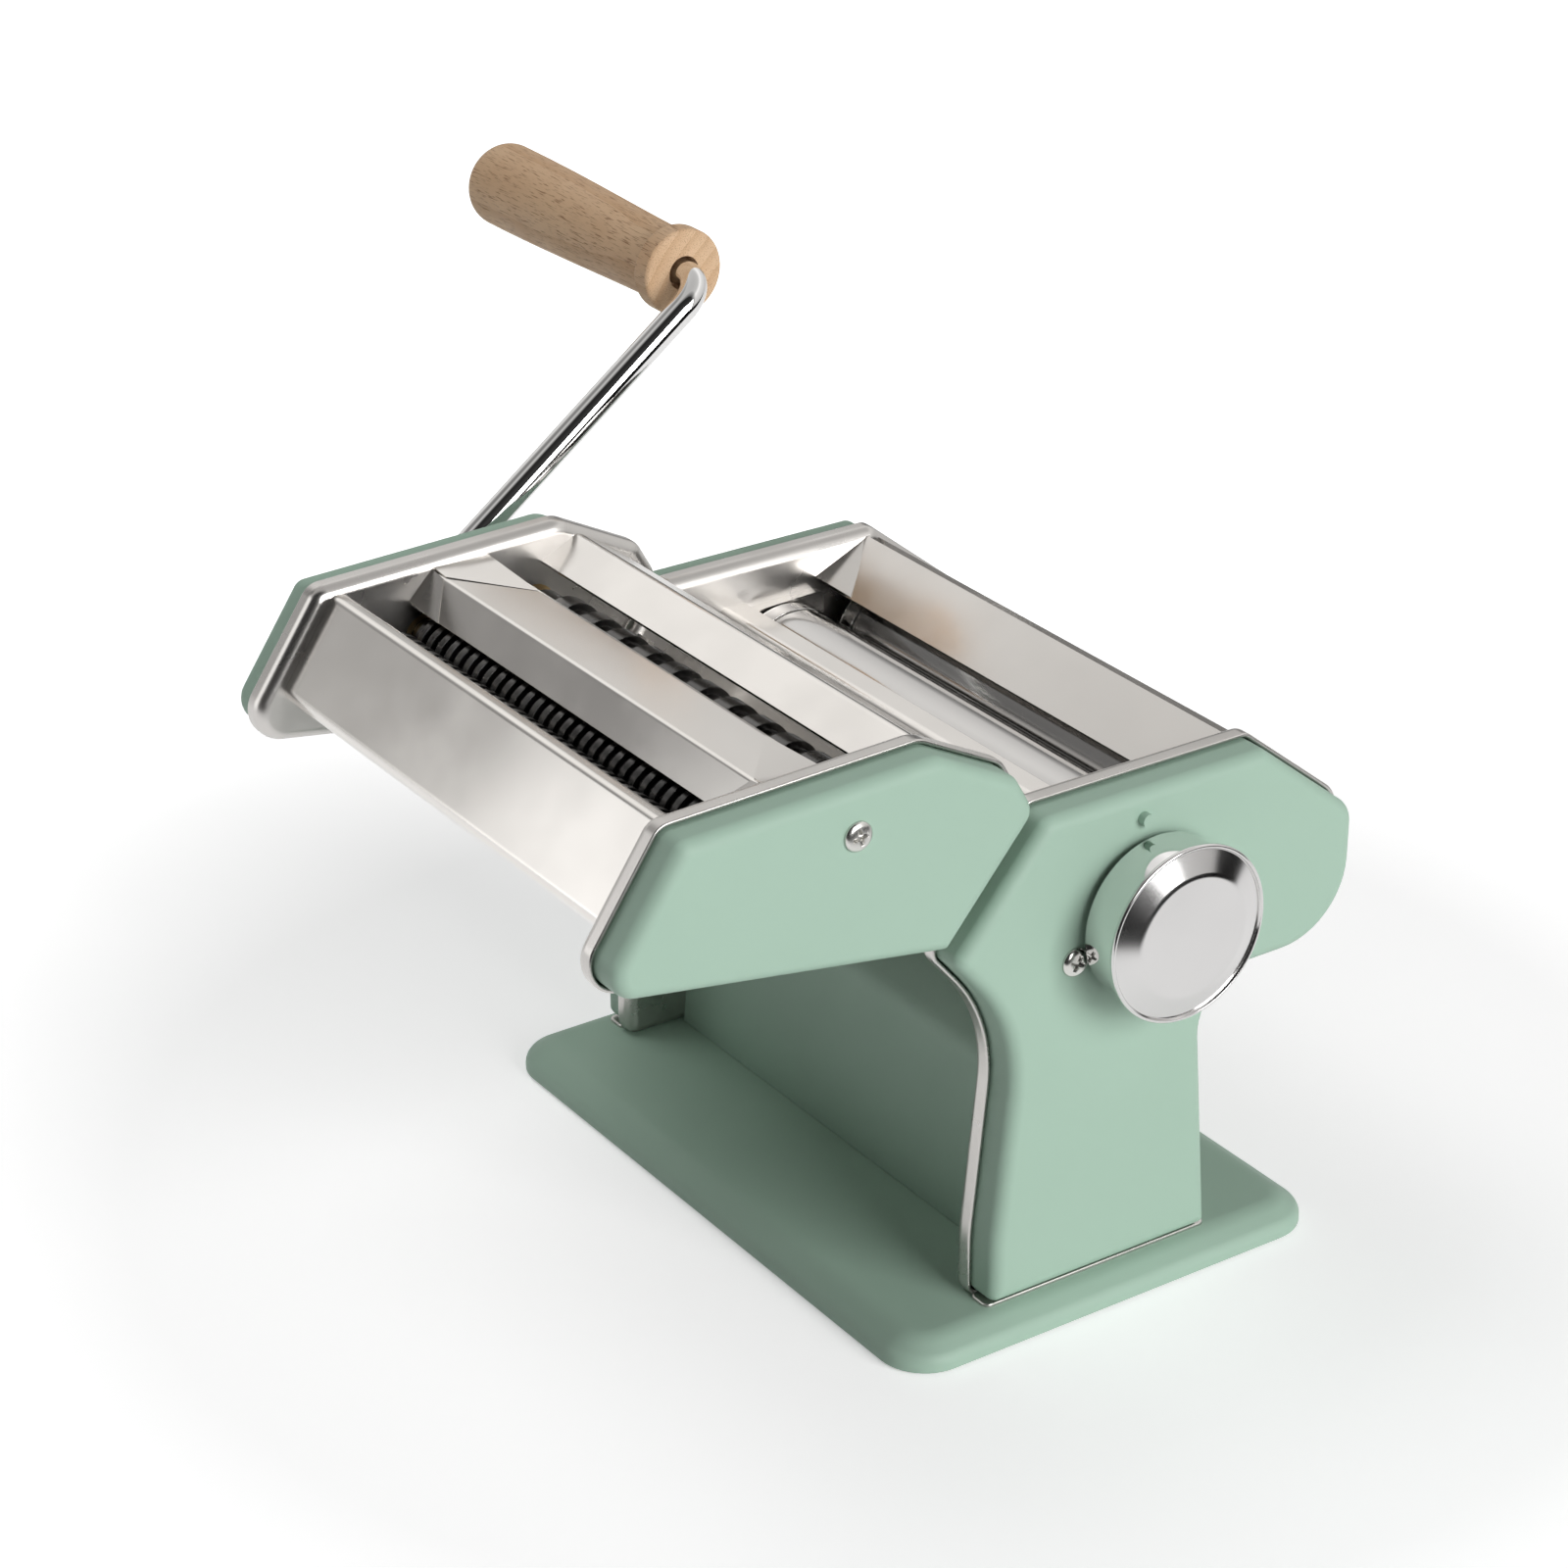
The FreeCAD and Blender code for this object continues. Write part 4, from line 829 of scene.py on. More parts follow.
FINISHES: tuple[Finish | BeechFinish, ...] = (
    Finish(Slot.PAINT, (0.415, 0.580, 0.472), (0.390, 0.552, 0.446), 0.0, 0.50, 0.58, 1500.0, 0.00002),
    Finish(Slot.RUBBER, (0.035, 0.035, 0.035), (0.02, 0.02, 0.02), 0.0, 0.75, 0.88, 900.0, 0.00012),
    Finish(Slot.SHEET, (0.79, 0.765, 0.735), (0.72, 0.695, 0.665), 1.0, 0.17, 0.24, 0.0, 0.0000012),
    Finish(Slot.ROLLER, (0.56, 0.55, 0.54), (0.50, 0.49, 0.48), 1.0, 0.10, 0.17, 0.0, 0.000002),
    Finish(Slot.CUTTER, (0.16, 0.155, 0.15), (0.06, 0.06, 0.06), 1.0, 0.2, 0.34, 2200.0, 0.00001, 60.0),
    Finish(Slot.ZINC, (0.7, 0.69, 0.66), (0.58, 0.57, 0.55), 1.0, 0.2, 0.32, 1800.0, 0.000006, 80.0),
    Finish(Slot.BRONZE, (0.62, 0.46, 0.24), (0.5, 0.35, 0.17), 1.0, 0.36, 0.48, 1800.0, 0.00001, 60.0),
    Finish(Slot.CHROME, (0.78, 0.775, 0.77), (0.72, 0.715, 0.71), 1.0, 0.03, 0.07, 0.0, 0.000001, 25.0),
    BeechFinish(),
)
SATIN_FINISH = Finish(
    Slot.CHROME, (0.68, 0.67, 0.665), (0.60, 0.59, 0.585), 1.0, 0.12, 0.19, 0.0, 0.0000008, 25.0)
# Duller copy of the sheet finish for the pans and the foot lips; its darker colour is painted shade.
SHADED_PAN_FINISH = Finish(
    Slot.SHEET, (0.62, 0.60, 0.58), (0.50, 0.485, 0.465), 1.0, 0.25, 0.36, 0.0, 0.000002, 30.0)


class Workshop:
    """The loaded frame, its finishes, and the slot of each CAD node."""

    def __init__(self, frame: dict) -> None:
        """Make the finishes and put each CAD node in its slot's finish.
        """
        self.frame = frame
        effects = Effects()
        self.materials = {finish.slot: finish.material(effects) for finish in FINISHES}
        # The pans' finish: duller sheet steel, darkened as painted shade.
        self.shaded_pan_material = SHADED_PAN_FINISH.material(effects)
        self.satin_material = SATIN_FINISH.material(effects)
        self.slots = {row["node"]: Slot(row["material_slot"]) for row in frame["record"]["subparts"]}
        for node, piece in frame["nodes"].items():
            self.coat(piece, self.slots[node])

    def coat(self, piece: bpy.types.Object, slot: Slot) -> None:
        """Give a piece the finish of a slot."""
        piece.data.materials.clear()
        piece.data.materials.append(self.materials[slot])

    def stand_in(self, piece: bpy.types.Object, node: str) -> bpy.types.Object:
        """Let a new piece stand for a CAD node, on the node's body and in its finish.

        Args:
            piece: the new piece.
            node: name of the CAD node.

        Returns:
            The same piece.
        """
        self.add(piece, self.frame["nodes"][node]["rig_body"], self.slots[node])
        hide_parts(node)
        return piece

    def add(self, piece: bpy.types.Object, body: str, slot: Slot) -> bpy.types.Object:
        """Let a new piece ride on a body in the finish of a slot.

        Args:
            piece: the new piece.
            body: name of the body.
            slot: the finish's slot.

        Returns:
            The same piece.
        """
        self.coat(piece, slot)
        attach(piece, body)
        LOG.info("%s rides on %s", piece.name, body)
        return piece


@dataclass
class SidePlates:
    """Pressed pans and painted covers of the main housing and of the noodle cutter, and the base tray.

    Outlines are (y, z, radius), or (x, y, radius) where they lie flat. Sections are (inset, height,
    radius), and holes are (y, z, radius).
    """

    main: Corners = field(default_factory=lambda: [
        (-40.5, 8.5, 4), (35.5, 8.5, 4), (29, 85.5, 14), (79.4, 85.5, 24), (79.4, 124.6, 10),
        (46.5, 150.8, 5), (-26.2, 150.8, 7), (-55.5, 116, 5), (-34, 90.5, 46), (-40.5, 28, 60)])
    cutter: Corners = field(default_factory=lambda: [
        (-54.79, 119.33, 4), (-26.78, 152.6, 7), (-33.5, 164.5, 7), (-59, 177.6, 10),
        (-134.8, 175.3, 6), (-161, 136.4, 9)])
    tray: Corners = field(default_factory=lambda: [
        (-101.7, -69.5, 14), (101.7, -69.5, 14), (101.7, 69.5, 14), (-101.7, 69.5, 14)])
    pan_section: Corners = field(default_factory=lambda: [
        (8, 81.2, 0), (1.2, 81.2, 2.2), (1.2, 86.4, 0.5), (0, 86.4, 0.5), (0, 80, 3.4), (8, 80, 0)])
    cover_section: Corners = field(default_factory=lambda: [
        (10.3, 94.2, 0), (1.8, 94.2, 2.2), (1.8, 81.2, 0), (0, 81.2, 0),
        (0, PLACES.cover_face, 3.8), (10.3, PLACES.cover_face, 0)])
    foot_section: Corners = field(default_factory=lambda: [
        (3, 8.2, 0), (0, 8.2, 0.3), (0, 9.5, 0.5), (3, 9.5, 0)])
    tray_section: Corners = field(default_factory=lambda: [
        (13.9, 7, 0), (7.4, 7, 2), (1.5, 4.5, 2), (1.5, 0.5, 0.3),
        (0, 0.5, 0.5), (0, 4.5, 4), (6.5, 8.5, 10), (13.9, 8.5, 0)])
    main_holes: Corners = field(default_factory=lambda: [
        (9.15, PLACES.roller_z, 7.0), (PLACES.rear_y, PLACES.roller_z, 8.0),
        (*PLACES.main_screw, PLACES.screw_hole), (9.15, 96.0, 5.2),
        (10.0, 30.0, PLACES.tie_hole), (67.8, 103.6, PLACES.tie_hole)])
    knob_holes: Corners = field(default_factory=lambda: [(*PLACES.knob, 7.0), (4.8, 141.8, 1.8)])
    cutter_ties: Corners = field(default_factory=lambda: [
        (-93.6, 139.5, PLACES.tie_hole), (-47.0, 156.0, PLACES.tie_hole)])
    cover_inset: float = 1.7
    socket_hole: float = 5.4
    right_bush_hole: float = 5.0
    left_bush_hole: float = 6.6
    base_screw: Pair = (84.1, 22.0)
    base_hole: float = 1.95
    foot_x: Pair = (86.0, 93.4)
    foot_y: Pair = (-39.5, 35.0)
    foot_round: float = 2.0

    def pan(self, shop: Workshop, node: str, outline: Corners, holes: Corners, plane: Plane) -> None:
        """Press a pan, in the duller sheet finish, whose darker colour is painted shade.

        Args:
            shop: where the pan is dressed.
            node: CAD node that it stands for.
            outline: the plate's outline.
            holes: holes through its web.
            plane: its side.
        """
        loops = [ring(*hole) for hole in holes]
        piece = pressed(f"dressed_{node}", outline, self.pan_section, loops, plane)
        shop.stand_in(piece, node).data.materials[0] = shop.shaded_pan_material

    def cover(self, shop: Workshop, node: str, outline: Corners, holes: Corners, plane: Plane) -> None:
        """Press a painted cover that stands inside a pan's rim.

        Args:
            shop: where the cover is dressed.
            node: CAD node that it stands for.
            outline: the plate's outline.
            holes: holes through the cover.
            plane: its side.
        """
        loops = [ring(*hole) for hole in holes]
        inside = inset(outline, self.cover_inset)
        shop.stand_in(pressed(f"dressed_{node}", inside, self.cover_section, loops, plane), node)

    def foot_lip(self, shop: Workshop, word: str, plane: Plane) -> None:
        """Press the lip under a side frame's foot, in the pans' finish, whose darker colour is painted shade.

        Args:
            shop: where the lip is dressed.
            word: name of the side.
            plane: the side.
        """
        near, far = sorted(plane.value * x for x in self.foot_x)
        front, rear = self.foot_y
        foot = [(x, y, self.foot_round) for x, y in ((near, front), (far, front), (far, rear), (near, rear))]
        lip = pressed(f"{word}_foot_lip", foot, self.foot_section, [], Plane.FLAT)
        shop.add(lip, "machine", Slot.SHEET).data.materials[0] = shop.shaded_pan_material

    def base(self, shop: Workshop) -> None:
        """Press the base tray with its four screw holes.

        Args:
            shop: where the tray is dressed.
        """
        x, y = self.base_screw
        holes = [ring(sx * x, sy * y, self.base_hole) for sx in (-1, 1) for sy in (-1, 1)]
        tray = pressed("dressed_base_tray", self.tray, self.tray_section, holes, Plane.FLAT)
        shop.stand_in(tray, "base_tray")

    def build(self, shop: Workshop) -> None:
        """Press the tray, the four pans with the lips of their feet, and the four covers.

        Args:
            shop: where the pieces are dressed.
        """
        self.base(shop)
        fronts = (PLACES.narrow_y, PLACES.wide_y)
        for plane, word in ((Plane.LEFT, "left"), (Plane.RIGHT, "right")):
            right = plane is Plane.RIGHT
            screw = (*PLACES.main_screw, PLACES.screw_hole)
            self.pan(shop, f"{word}_side_frame", self.main, self.main_holes, plane)
            self.foot_lip(shop, word, plane)
            holes = self.knob_holes if right else [(PLACES.rear_y, PLACES.roller_z, self.socket_hole)]
            self.cover(shop, f"{word}_side_cover", self.main, holes + [screw], plane)
            screw = (*PLACES.cutter_screw(plane), PLACES.screw_hole)
            bush = self.right_bush_hole if right else self.left_bush_hole
            holes = [(y + step, PLACES.cutter_z, bush) for y in fronts for step in (0.0, PLACES.pair_step)]
            self.pan(shop, f"cutter_{word}_frame", self.cutter, holes + self.cutter_ties + [screw], plane)
            holes = [] if right else [(y, PLACES.cutter_z, self.socket_hole) for y in fronts]
            self.cover(shop, f"cutter_{word}_cover", self.cutter, holes + [screw], plane)


@dataclass
class CrossHeadScrews:
    """Raised cross-head screws in the covers.

    The head is a grid of radius and angle: a low dome, less a cross that deepens towards its middle.
    """

    radius: float = 4.0
    rise: float = 1.6
    dome_share: float = 0.96
    face_share: float = 0.9
    arm_width: float = 0.5
    arm_slope: float = 0.24
    arm_reach: float = 2.3
    reach_slope: float = 0.9
    cross_depth: float = 1.15
    spokes: int = 96

    def head(self, skin: Skin, plane: Plane, place: Pair, spin: float) -> None:
        """Add one head to a skin.

        Args:
            skin: mesh under way.
            plane: side of the cover.
            place: (y, z) of the screw.
            spin: turn of the cross in degrees.
        """
        face = np.linspace(0.0, self.face_share, 30)
        edge = self.face_share + (1 - self.face_share) * np.sin(np.linspace(0.0, math.pi / 2, 9)[1:])
        share = np.concatenate([face, edge])[:, None]
        angle = np.linspace(0.0, 2 * math.pi, self.spokes, endpoint=False)
        across, up = self.radius * share * np.cos(angle), self.radius * share * np.sin(angle)
        cosine, sine = math.cos(math.radians(spin)), math.sin(math.radians(spin))
        u, v = across * cosine + up * sine, up * cosine - across * sine
        dome = self.rise * np.sqrt(np.clip(1.0 - (self.dome_share * share) ** 4, 0.0, 1.0))
        arms = [np.clip((self.arm_width + self.arm_slope / 2 - np.abs(a)) / self.arm_slope, 0, 1)
                * np.clip((self.arm_reach - np.abs(b)) / self.reach_slope, 0, 1) for a, b in ((u, v), (v, u))]
        height = dome - self.cross_depth * np.maximum(*arms)
        height[-1] = 0.0
        x = plane.value * (PLACES.cover_face + height)
        points = np.stack([x, place[0] + across, place[1] + up], axis=-1)
        skin.grid(points)
        skin.polygon(points[-1])

    def build(self, shop: Workshop) -> None:
        """Make the two pairs of screws.

        Args:
            shop: where the screws are dressed.
        """
        main, left, right = PLACES.main_screw, PLACES.left_cutter_screw, PLACES.right_cutter_screw
        pairs = {"cover_screws": ((Plane.LEFT, main, 20.0), (Plane.RIGHT, main, 62.0)),
                 "cutter_cover_screws": ((Plane.LEFT, left, 35.0), (Plane.RIGHT, right, 12.0))}
        for node, spots in pairs.items():
            skin = Skin()
            for spot in spots:
                self.head(skin, *spot)
            shop.stand_in(skin.build(f"dressed_{node}"), node)


@dataclass
class Rollers:
    """Smooth sheet rollers and ringed cutting rollers, turned with eased edges.

    Profiles are (x, r, fillet).
    """

    radius: float = 18.0
    half: float = 75.5
    axle: float = 4.8
    groove_x: float = 69.0
    groove_half: float = 0.6
    groove_floor: float = 17.2
    cutter_half: float = 76.0
    core: float = 6.5
    ring_radius: float = 8.5
    stub: float = 3.2
    stub_end: float = 84.0
    socket: float = 3.25
    socket_depth: float = 15.0

    def axle_left(self, end: float, driven: bool) -> Corners:
        """Left end of an axle.

        Args:
            end: how far left it reaches.
            driven: whether it has a blind crank socket.

        Returns:
            Corners from the axis to the axle's own radius.
        """
        if not driven:
            return [(-end, 0, 0), (-end, self.axle, 0.5)]
        floor = -end + self.socket_depth
        return [(floor, 0, 0), (floor, self.socket, 0), (-end, self.socket, 0.3), (-end, self.axle, 0.5)]

    def smooth(self, shop: Workshop, node: str, y: float, right: float, left: Corners) -> None:
        """A sheet roller with a groove near each end of its barrel.

        Args:
            shop: where the roller is dressed.
            node: CAD node that it stands for.
            y: place of its axis.
            right: right end of its axle.
            left: corners of its axle's left end.
        """
        line = left + [(-self.half, self.axle, 0), (-self.half, self.radius, 1.2)]
        for middle in (-self.groove_x, self.groove_x):
            near, far = middle - self.groove_half, middle + self.groove_half
            line += [(near, self.radius, 0.15), (near, self.groove_floor, 0.1),
                     (far, self.groove_floor, 0.1), (far, self.radius, 0.15)]
        line += [(self.half, self.radius, 1.2), (self.half, self.axle, 0),
                 (right, self.axle, 0.4), (right, 0, 0)]
        shop.stand_in(turned(f"dressed_{node}", line, (y, PLACES.roller_z), 160, 4), node)

    def ringed(self, shop: Workshop, node: str, y: float, step: float, width: float, shift: float,
               left: Corners) -> None:
        """A cutting roller: rings at an even step, which stand in its mate's grooves.

        Args:
            shop: where the roller is dressed.
            node: CAD node that it stands for.
            y: place of its axis.
            step: from ring to ring.
            width: width of a ring.
            shift: how far the rings stand off the middle.
            left: corners of its axle's left end.
        """
        half = self.cutter_half
        line = left + [(-half, self.axle, 0), (-half, self.core, 0.3)]
        count = int((2 * half - step) / step)
        for middle in -step * (count - 1) / 2 + shift + step * np.arange(count):
            near, far = middle - width / 2, middle + width / 2
            line += [(near, self.core, 0.15), (near, self.ring_radius, 0.25),
                     (far, self.ring_radius, 0.25), (far, self.core, 0.15)]
        line += [(half, self.core, 0.3), (half, self.stub, 0),
                 (self.stub_end, self.stub, 0.3), (self.stub_end, 0, 0)]
        shop.stand_in(turned(f"dressed_{node}", line, (y, PLACES.cutter_z), 72, 3), node)

    def build(self, shop: Workshop) -> None:
        """Turn the two sheet rollers and the four cutting rollers.

        Args:
            shop: where the rollers are dressed.
        """
        driven = self.axle_left(PLACES.socket_end, True)
        self.smooth(shop, "front_roller", PLACES.front_y, 85.8, self.axle_left(91.2, False))
        self.smooth(shop, "rear_roller", PLACES.rear_y, 84.0, driven)
        for kind, y, step, width, gear_end in (("narrow", PLACES.narrow_y, 4.8, 2.2, 87.0),
                                               ("wide", PLACES.wide_y, 13.0, 6.3, 91.6)):
            self.ringed(shop, f"{kind}_front_cutter", y, step, width, step / 4, driven)
            self.ringed(shop, f"{kind}_rear_cutter", y + PLACES.pair_step, step, width, -step / 4,
                        self.axle_left(gear_end, False))


@dataclass
class ThicknessKnob:
    """Chromed knob: a straight cup and a cap with a bead round its edge, a cone and a flat disc."""

    back: float = 98.4
    front: float = 111.0
    radius: float = 22.8
    inside: float = 21.2
    floor_x: float = 109.4
    boss: float = 8.5
    boss_x: float = 99.4
    well: float = 6.6
    well_x: float = 102.4
    bore: float = 4.1
    cap_radius: float = 24.8
    bead_x: float = 112.5
    bead_inside: float = 23.9
    groove: Pair = (111.9, 23.5)
    disc_radius: float = 17.0
    face_x: float = 114.2
    spokes: int = 144

    def build(self, shop: Workshop) -> None:
        """Turn the barrel and the cap.

        Args:
            shop: where the knob is dressed.
        """
        barrel = [(self.back, self.inside, 0.3), (self.back, self.radius, 0.5), (self.front, self.radius, 0.2),
                  (self.front, self.well, 0), (self.well_x, self.well, 0), (self.well_x, self.bore, 0),
                  (self.boss_x, self.bore, 0), (self.boss_x, self.boss, 0.3), (self.floor_x, self.boss, 0.5),
                  (self.floor_x, self.inside, 0.8)]
        shop.stand_in(turned("dressed_knob_barrel", barrel, PLACES.knob, self.spokes), "knob_barrel")
        cap = [(self.front, 0, 0), (self.front, self.cap_radius, 0.6), (self.bead_x, self.cap_radius, 0.6),
               (self.bead_x, self.bead_inside, 0.2), (*self.groove, 0.15),
               (self.face_x, self.disc_radius, 5.0), (self.face_x, 0, 0)]
        disc = shop.stand_in(turned("dressed_knob_cap", cap, PLACES.knob, self.spokes, 10), "knob_cap")
        disc.data.materials[0] = shop.satin_material


@dataclass
class Crank:
    """Bent chromed rod and its turned wooden grip."""

    angle: float = 37.3
    plane_x: float = 109.0
    bend: float = 10.0
    arm: float = 115.6
    radius: float = 4.0
    tip_radius: float = 3.0
    tip_end: float = 84.0
    tip_start: float = 98.0
    rod_end: float = 215.0
    chamfer: float = 0.4
    shoulder: float = 0.1
    grip_near: float = 120.0
    grip_far: float = 225.0
    rim: float = 12.8
    bead_width: float = 6.6
    bead_foot: float = 8.4
    waist: float = 10.8
    waist_end: float = 13.0
    body: float = 12.7
    swell_power: float = 1.3
    dome_share: float = 0.55
    flat_share: float = 0.25
    bore: float = 5.0
    bore_depth: float = 6.0
    pilot: float = 4.3
    wood_end: float = 9.4

    def rod(self, shop: Workshop) -> None:
        """Carry a circle along the rod's line, in the plane of the bend; the tip is a thinner stretch.

        Args:
            shop: where the rod is dressed.
        """
        line = rounded_line([(-self.tip_start, 0, 0), (-self.plane_x, 0, self.bend),
                             (-self.plane_x, self.arm, self.bend), (-self.rod_end, self.arm, 0)], False, 20)
        line = line[np.concatenate([[True], np.linalg.norm(np.diff(line, axis=0), axis=1) > SMALL])]
        way = np.gradient(line, axis=0)
        way /= np.linalg.norm(way, axis=1, keepdims=True)
        radius = np.full(len(line), self.radius)
        tip_x = -np.array([self.tip_end, self.tip_end, self.tip_end + self.chamfer,
                           self.tip_start - self.shoulder, self.tip_start])
        tip = [0, self.tip_radius - self.chamfer, self.tip_radius, self.tip_radius, self.radius - self.chamfer]
        line = np.vstack([np.column_stack([tip_x, np.zeros(len(tip_x))]), line, line[-1:]])
        way = np.vstack([np.tile(way[:1], (len(tip_x), 1)), way, way[-1:]])
        radius = np.concatenate([tip, radius, [0]])[:, None]
        angle = np.linspace(0.0, 2 * math.pi, 64, endpoint=False)
        side = np.stack([-way[:, 1], way[:, 0]], axis=1)
        x = line[:, :1] + radius * side[:, :1] * np.cos(angle)
        v = line[:, 1:] + radius * side[:, 1:] * np.cos(angle)
        w = radius * np.sin(angle)
        lean = math.radians(self.angle)
        skin = Skin()
        skin.grid(np.stack([x, PLACES.wide_y + v * math.cos(lean) - w * math.sin(lean),
                            PLACES.cutter_z + v * math.sin(lean) + w * math.cos(lean)], axis=-1))
        shop.stand_in(skin.build("dressed_crank_rod"), "crank_rod")

    def grip(self, shop: Workshop) -> None:
        """Turn the grip: a bead by the rod, a waist, a slow swell and a domed end, with a stepped bore.

        Args:
            shop: where the grip is dressed.
        """
        near, far = self.grip_near, self.grip_far
        lean = math.radians(self.angle)
        y, z = PLACES.wide_y + self.arm * math.cos(lean), PLACES.cutter_z + self.arm * math.sin(lean)
        share = np.linspace(0.0, 1.0, 40)
        start, dome = near + self.waist_end, self.body * self.dome_share
        rise = np.sin(share * math.pi / 2) ** self.swell_power
        swell = np.column_stack([start + (far - dome - start) * share,
                                 self.waist + (self.body - self.waist) * rise])
        fall = self.flat_share + (1 - self.flat_share) * np.cos(share * math.pi / 2)
        end = np.column_stack([far - dome * (1 - np.sin(share * math.pi / 2)), self.body * fall])
        bead = rounded_line([(near, self.bore, 0), (near, self.rim, 1.3),
                             (near + self.bead_width, self.rim, 1.8),
                             (near + self.bead_foot, self.waist, 1.6), (start, self.waist, 0)], False, 8)
        blind, ledge = far - self.wood_end, near + self.bore_depth
        bore = np.array([(far, 0), (blind, 0), (blind, self.pilot), (ledge, self.pilot),
                         (ledge, self.bore), (near, self.bore)])
        profile = np.vstack([bead, swell, end, bore])
        profile[:, 0] *= -1
        skin = Skin()
        skin.grid(revolved(profile, y, z, 96))
        shop.stand_in(skin.build("dressed_crank_grip"), "crank_grip")

    def build(self, shop: Workshop) -> None:
        """Make the rod and the grip."""
        self.rod(shop)
        self.grip(shop)


@dataclass
class Sheets:
    """Folded sheets between the side frames, and the facets folded at their ends.

    Each line is a sheet's first face as (y, z, inside bend). A negative thickness lies to the line's
    right. Facets are given for the right end as (x, y, z).
    """

    half: float = 80.0
    thickness: float = 1.2
    facet: float = 0.5
    front_panel: Corners = field(default_factory=lambda: [
        (-139.14, 143.76, 0), (-148.14, 147.26, 2), (-130.6, 173.0, 1.0), (-126.1, 172.4, 0.8),
        (-125.4, 169.0, 0)])
    centre_guide: Corners = field(default_factory=lambda: [
        (-105.9, 163.4, 0), (-99.4, 171.5, 0.5), (-82.2, 170.7, 1.0), (-80.2, 165.9, 0)])
    hopper_strip: Corners = field(default_factory=lambda: [
        (1.0, 137.2, 0), (-6.0, 137.2, 2.4), (-22.0, 122.0, 0)])
    guide_corner: Corners = field(default_factory=lambda: [
        (79.9, -100.2, 173.4), (79.9, -107.6, 165.9), (66.0, -107.0, 164.3), (74.0, -100.2, 172.6)])
    guide_crown: Corners = field(default_factory=lambda: [
        (74.0, -99.4, 173.0), (79.9, -99.6, 173.7), (79.9, -82.4, 173.2), (54.0, -82.6, 172.0)])
    hopper_corner: Corners = field(default_factory=lambda: [
        (79.9, 44.6, 149.0), (79.9, 25.6, 140.6), (65.5, 27.6, 138.9)])

    def build(self, shop: Workshop) -> None:
        """Fold the sheets that show, and the facets at the ends of the hopper plate and the centre guide.

        Args:
            shop: where the sheets are dressed.
        """
        for node, line, side in (("cutter_front_panel", self.front_panel, -1),
                                 ("cutter_centre_guide", self.centre_guide, 1),
                                 ("front_hopper_strip", self.hopper_strip, -1)):
            shop.stand_in(folded(f"dressed_{node}", line, side * self.thickness, self.half), node)
        for side, word in ((-1, "left"), (1, "right")):
            for name, spots, body in (("guide_corner_fold", self.guide_corner, "cutter"),
                                      ("guide_crown_fold", self.guide_crown, "cutter"),
                                      ("hopper_corner_fold", self.hopper_corner, "machine")):
                face = np.array(spots) * (side, 1, 1)
                shop.add(folded_corner(f"{name}_{word}", face, self.facet), body, Slot.SHEET)


@dataclass(frozen=True)
class Lamp:
    """A square soft lamp.

    Attributes:
        name: object name.
        place: where it stands, in metres.
        size: its side, in metres.
        power: its power in watts.
        matt: whether matt faces are lit by it.
        mirrored: whether polished faces show it.
    """

    name: str
    place: Triple
    size: float
    power: float
    matt: bool = True
    mirrored: bool = True

    def build(self, target: Vector) -> None:
        """Hang the lamp and aim it.

        Args:
            target: the point that it faces.
        """
        data = bpy.data.lights.new(self.name, "AREA")
        data.size, data.energy = self.size, self.power
        lamp = bpy.data.objects.new(self.name, data)
        turn = (Vector(self.place) - target).to_track_quat("Z", "Y").to_matrix().to_4x4()
        lamp.matrix_world = Matrix.Translation(self.place) @ turn
        lamp.visible_diffuse, lamp.visible_glossy = self.matt, self.mirrored
        bpy.context.scene.collection.objects.link(lamp)


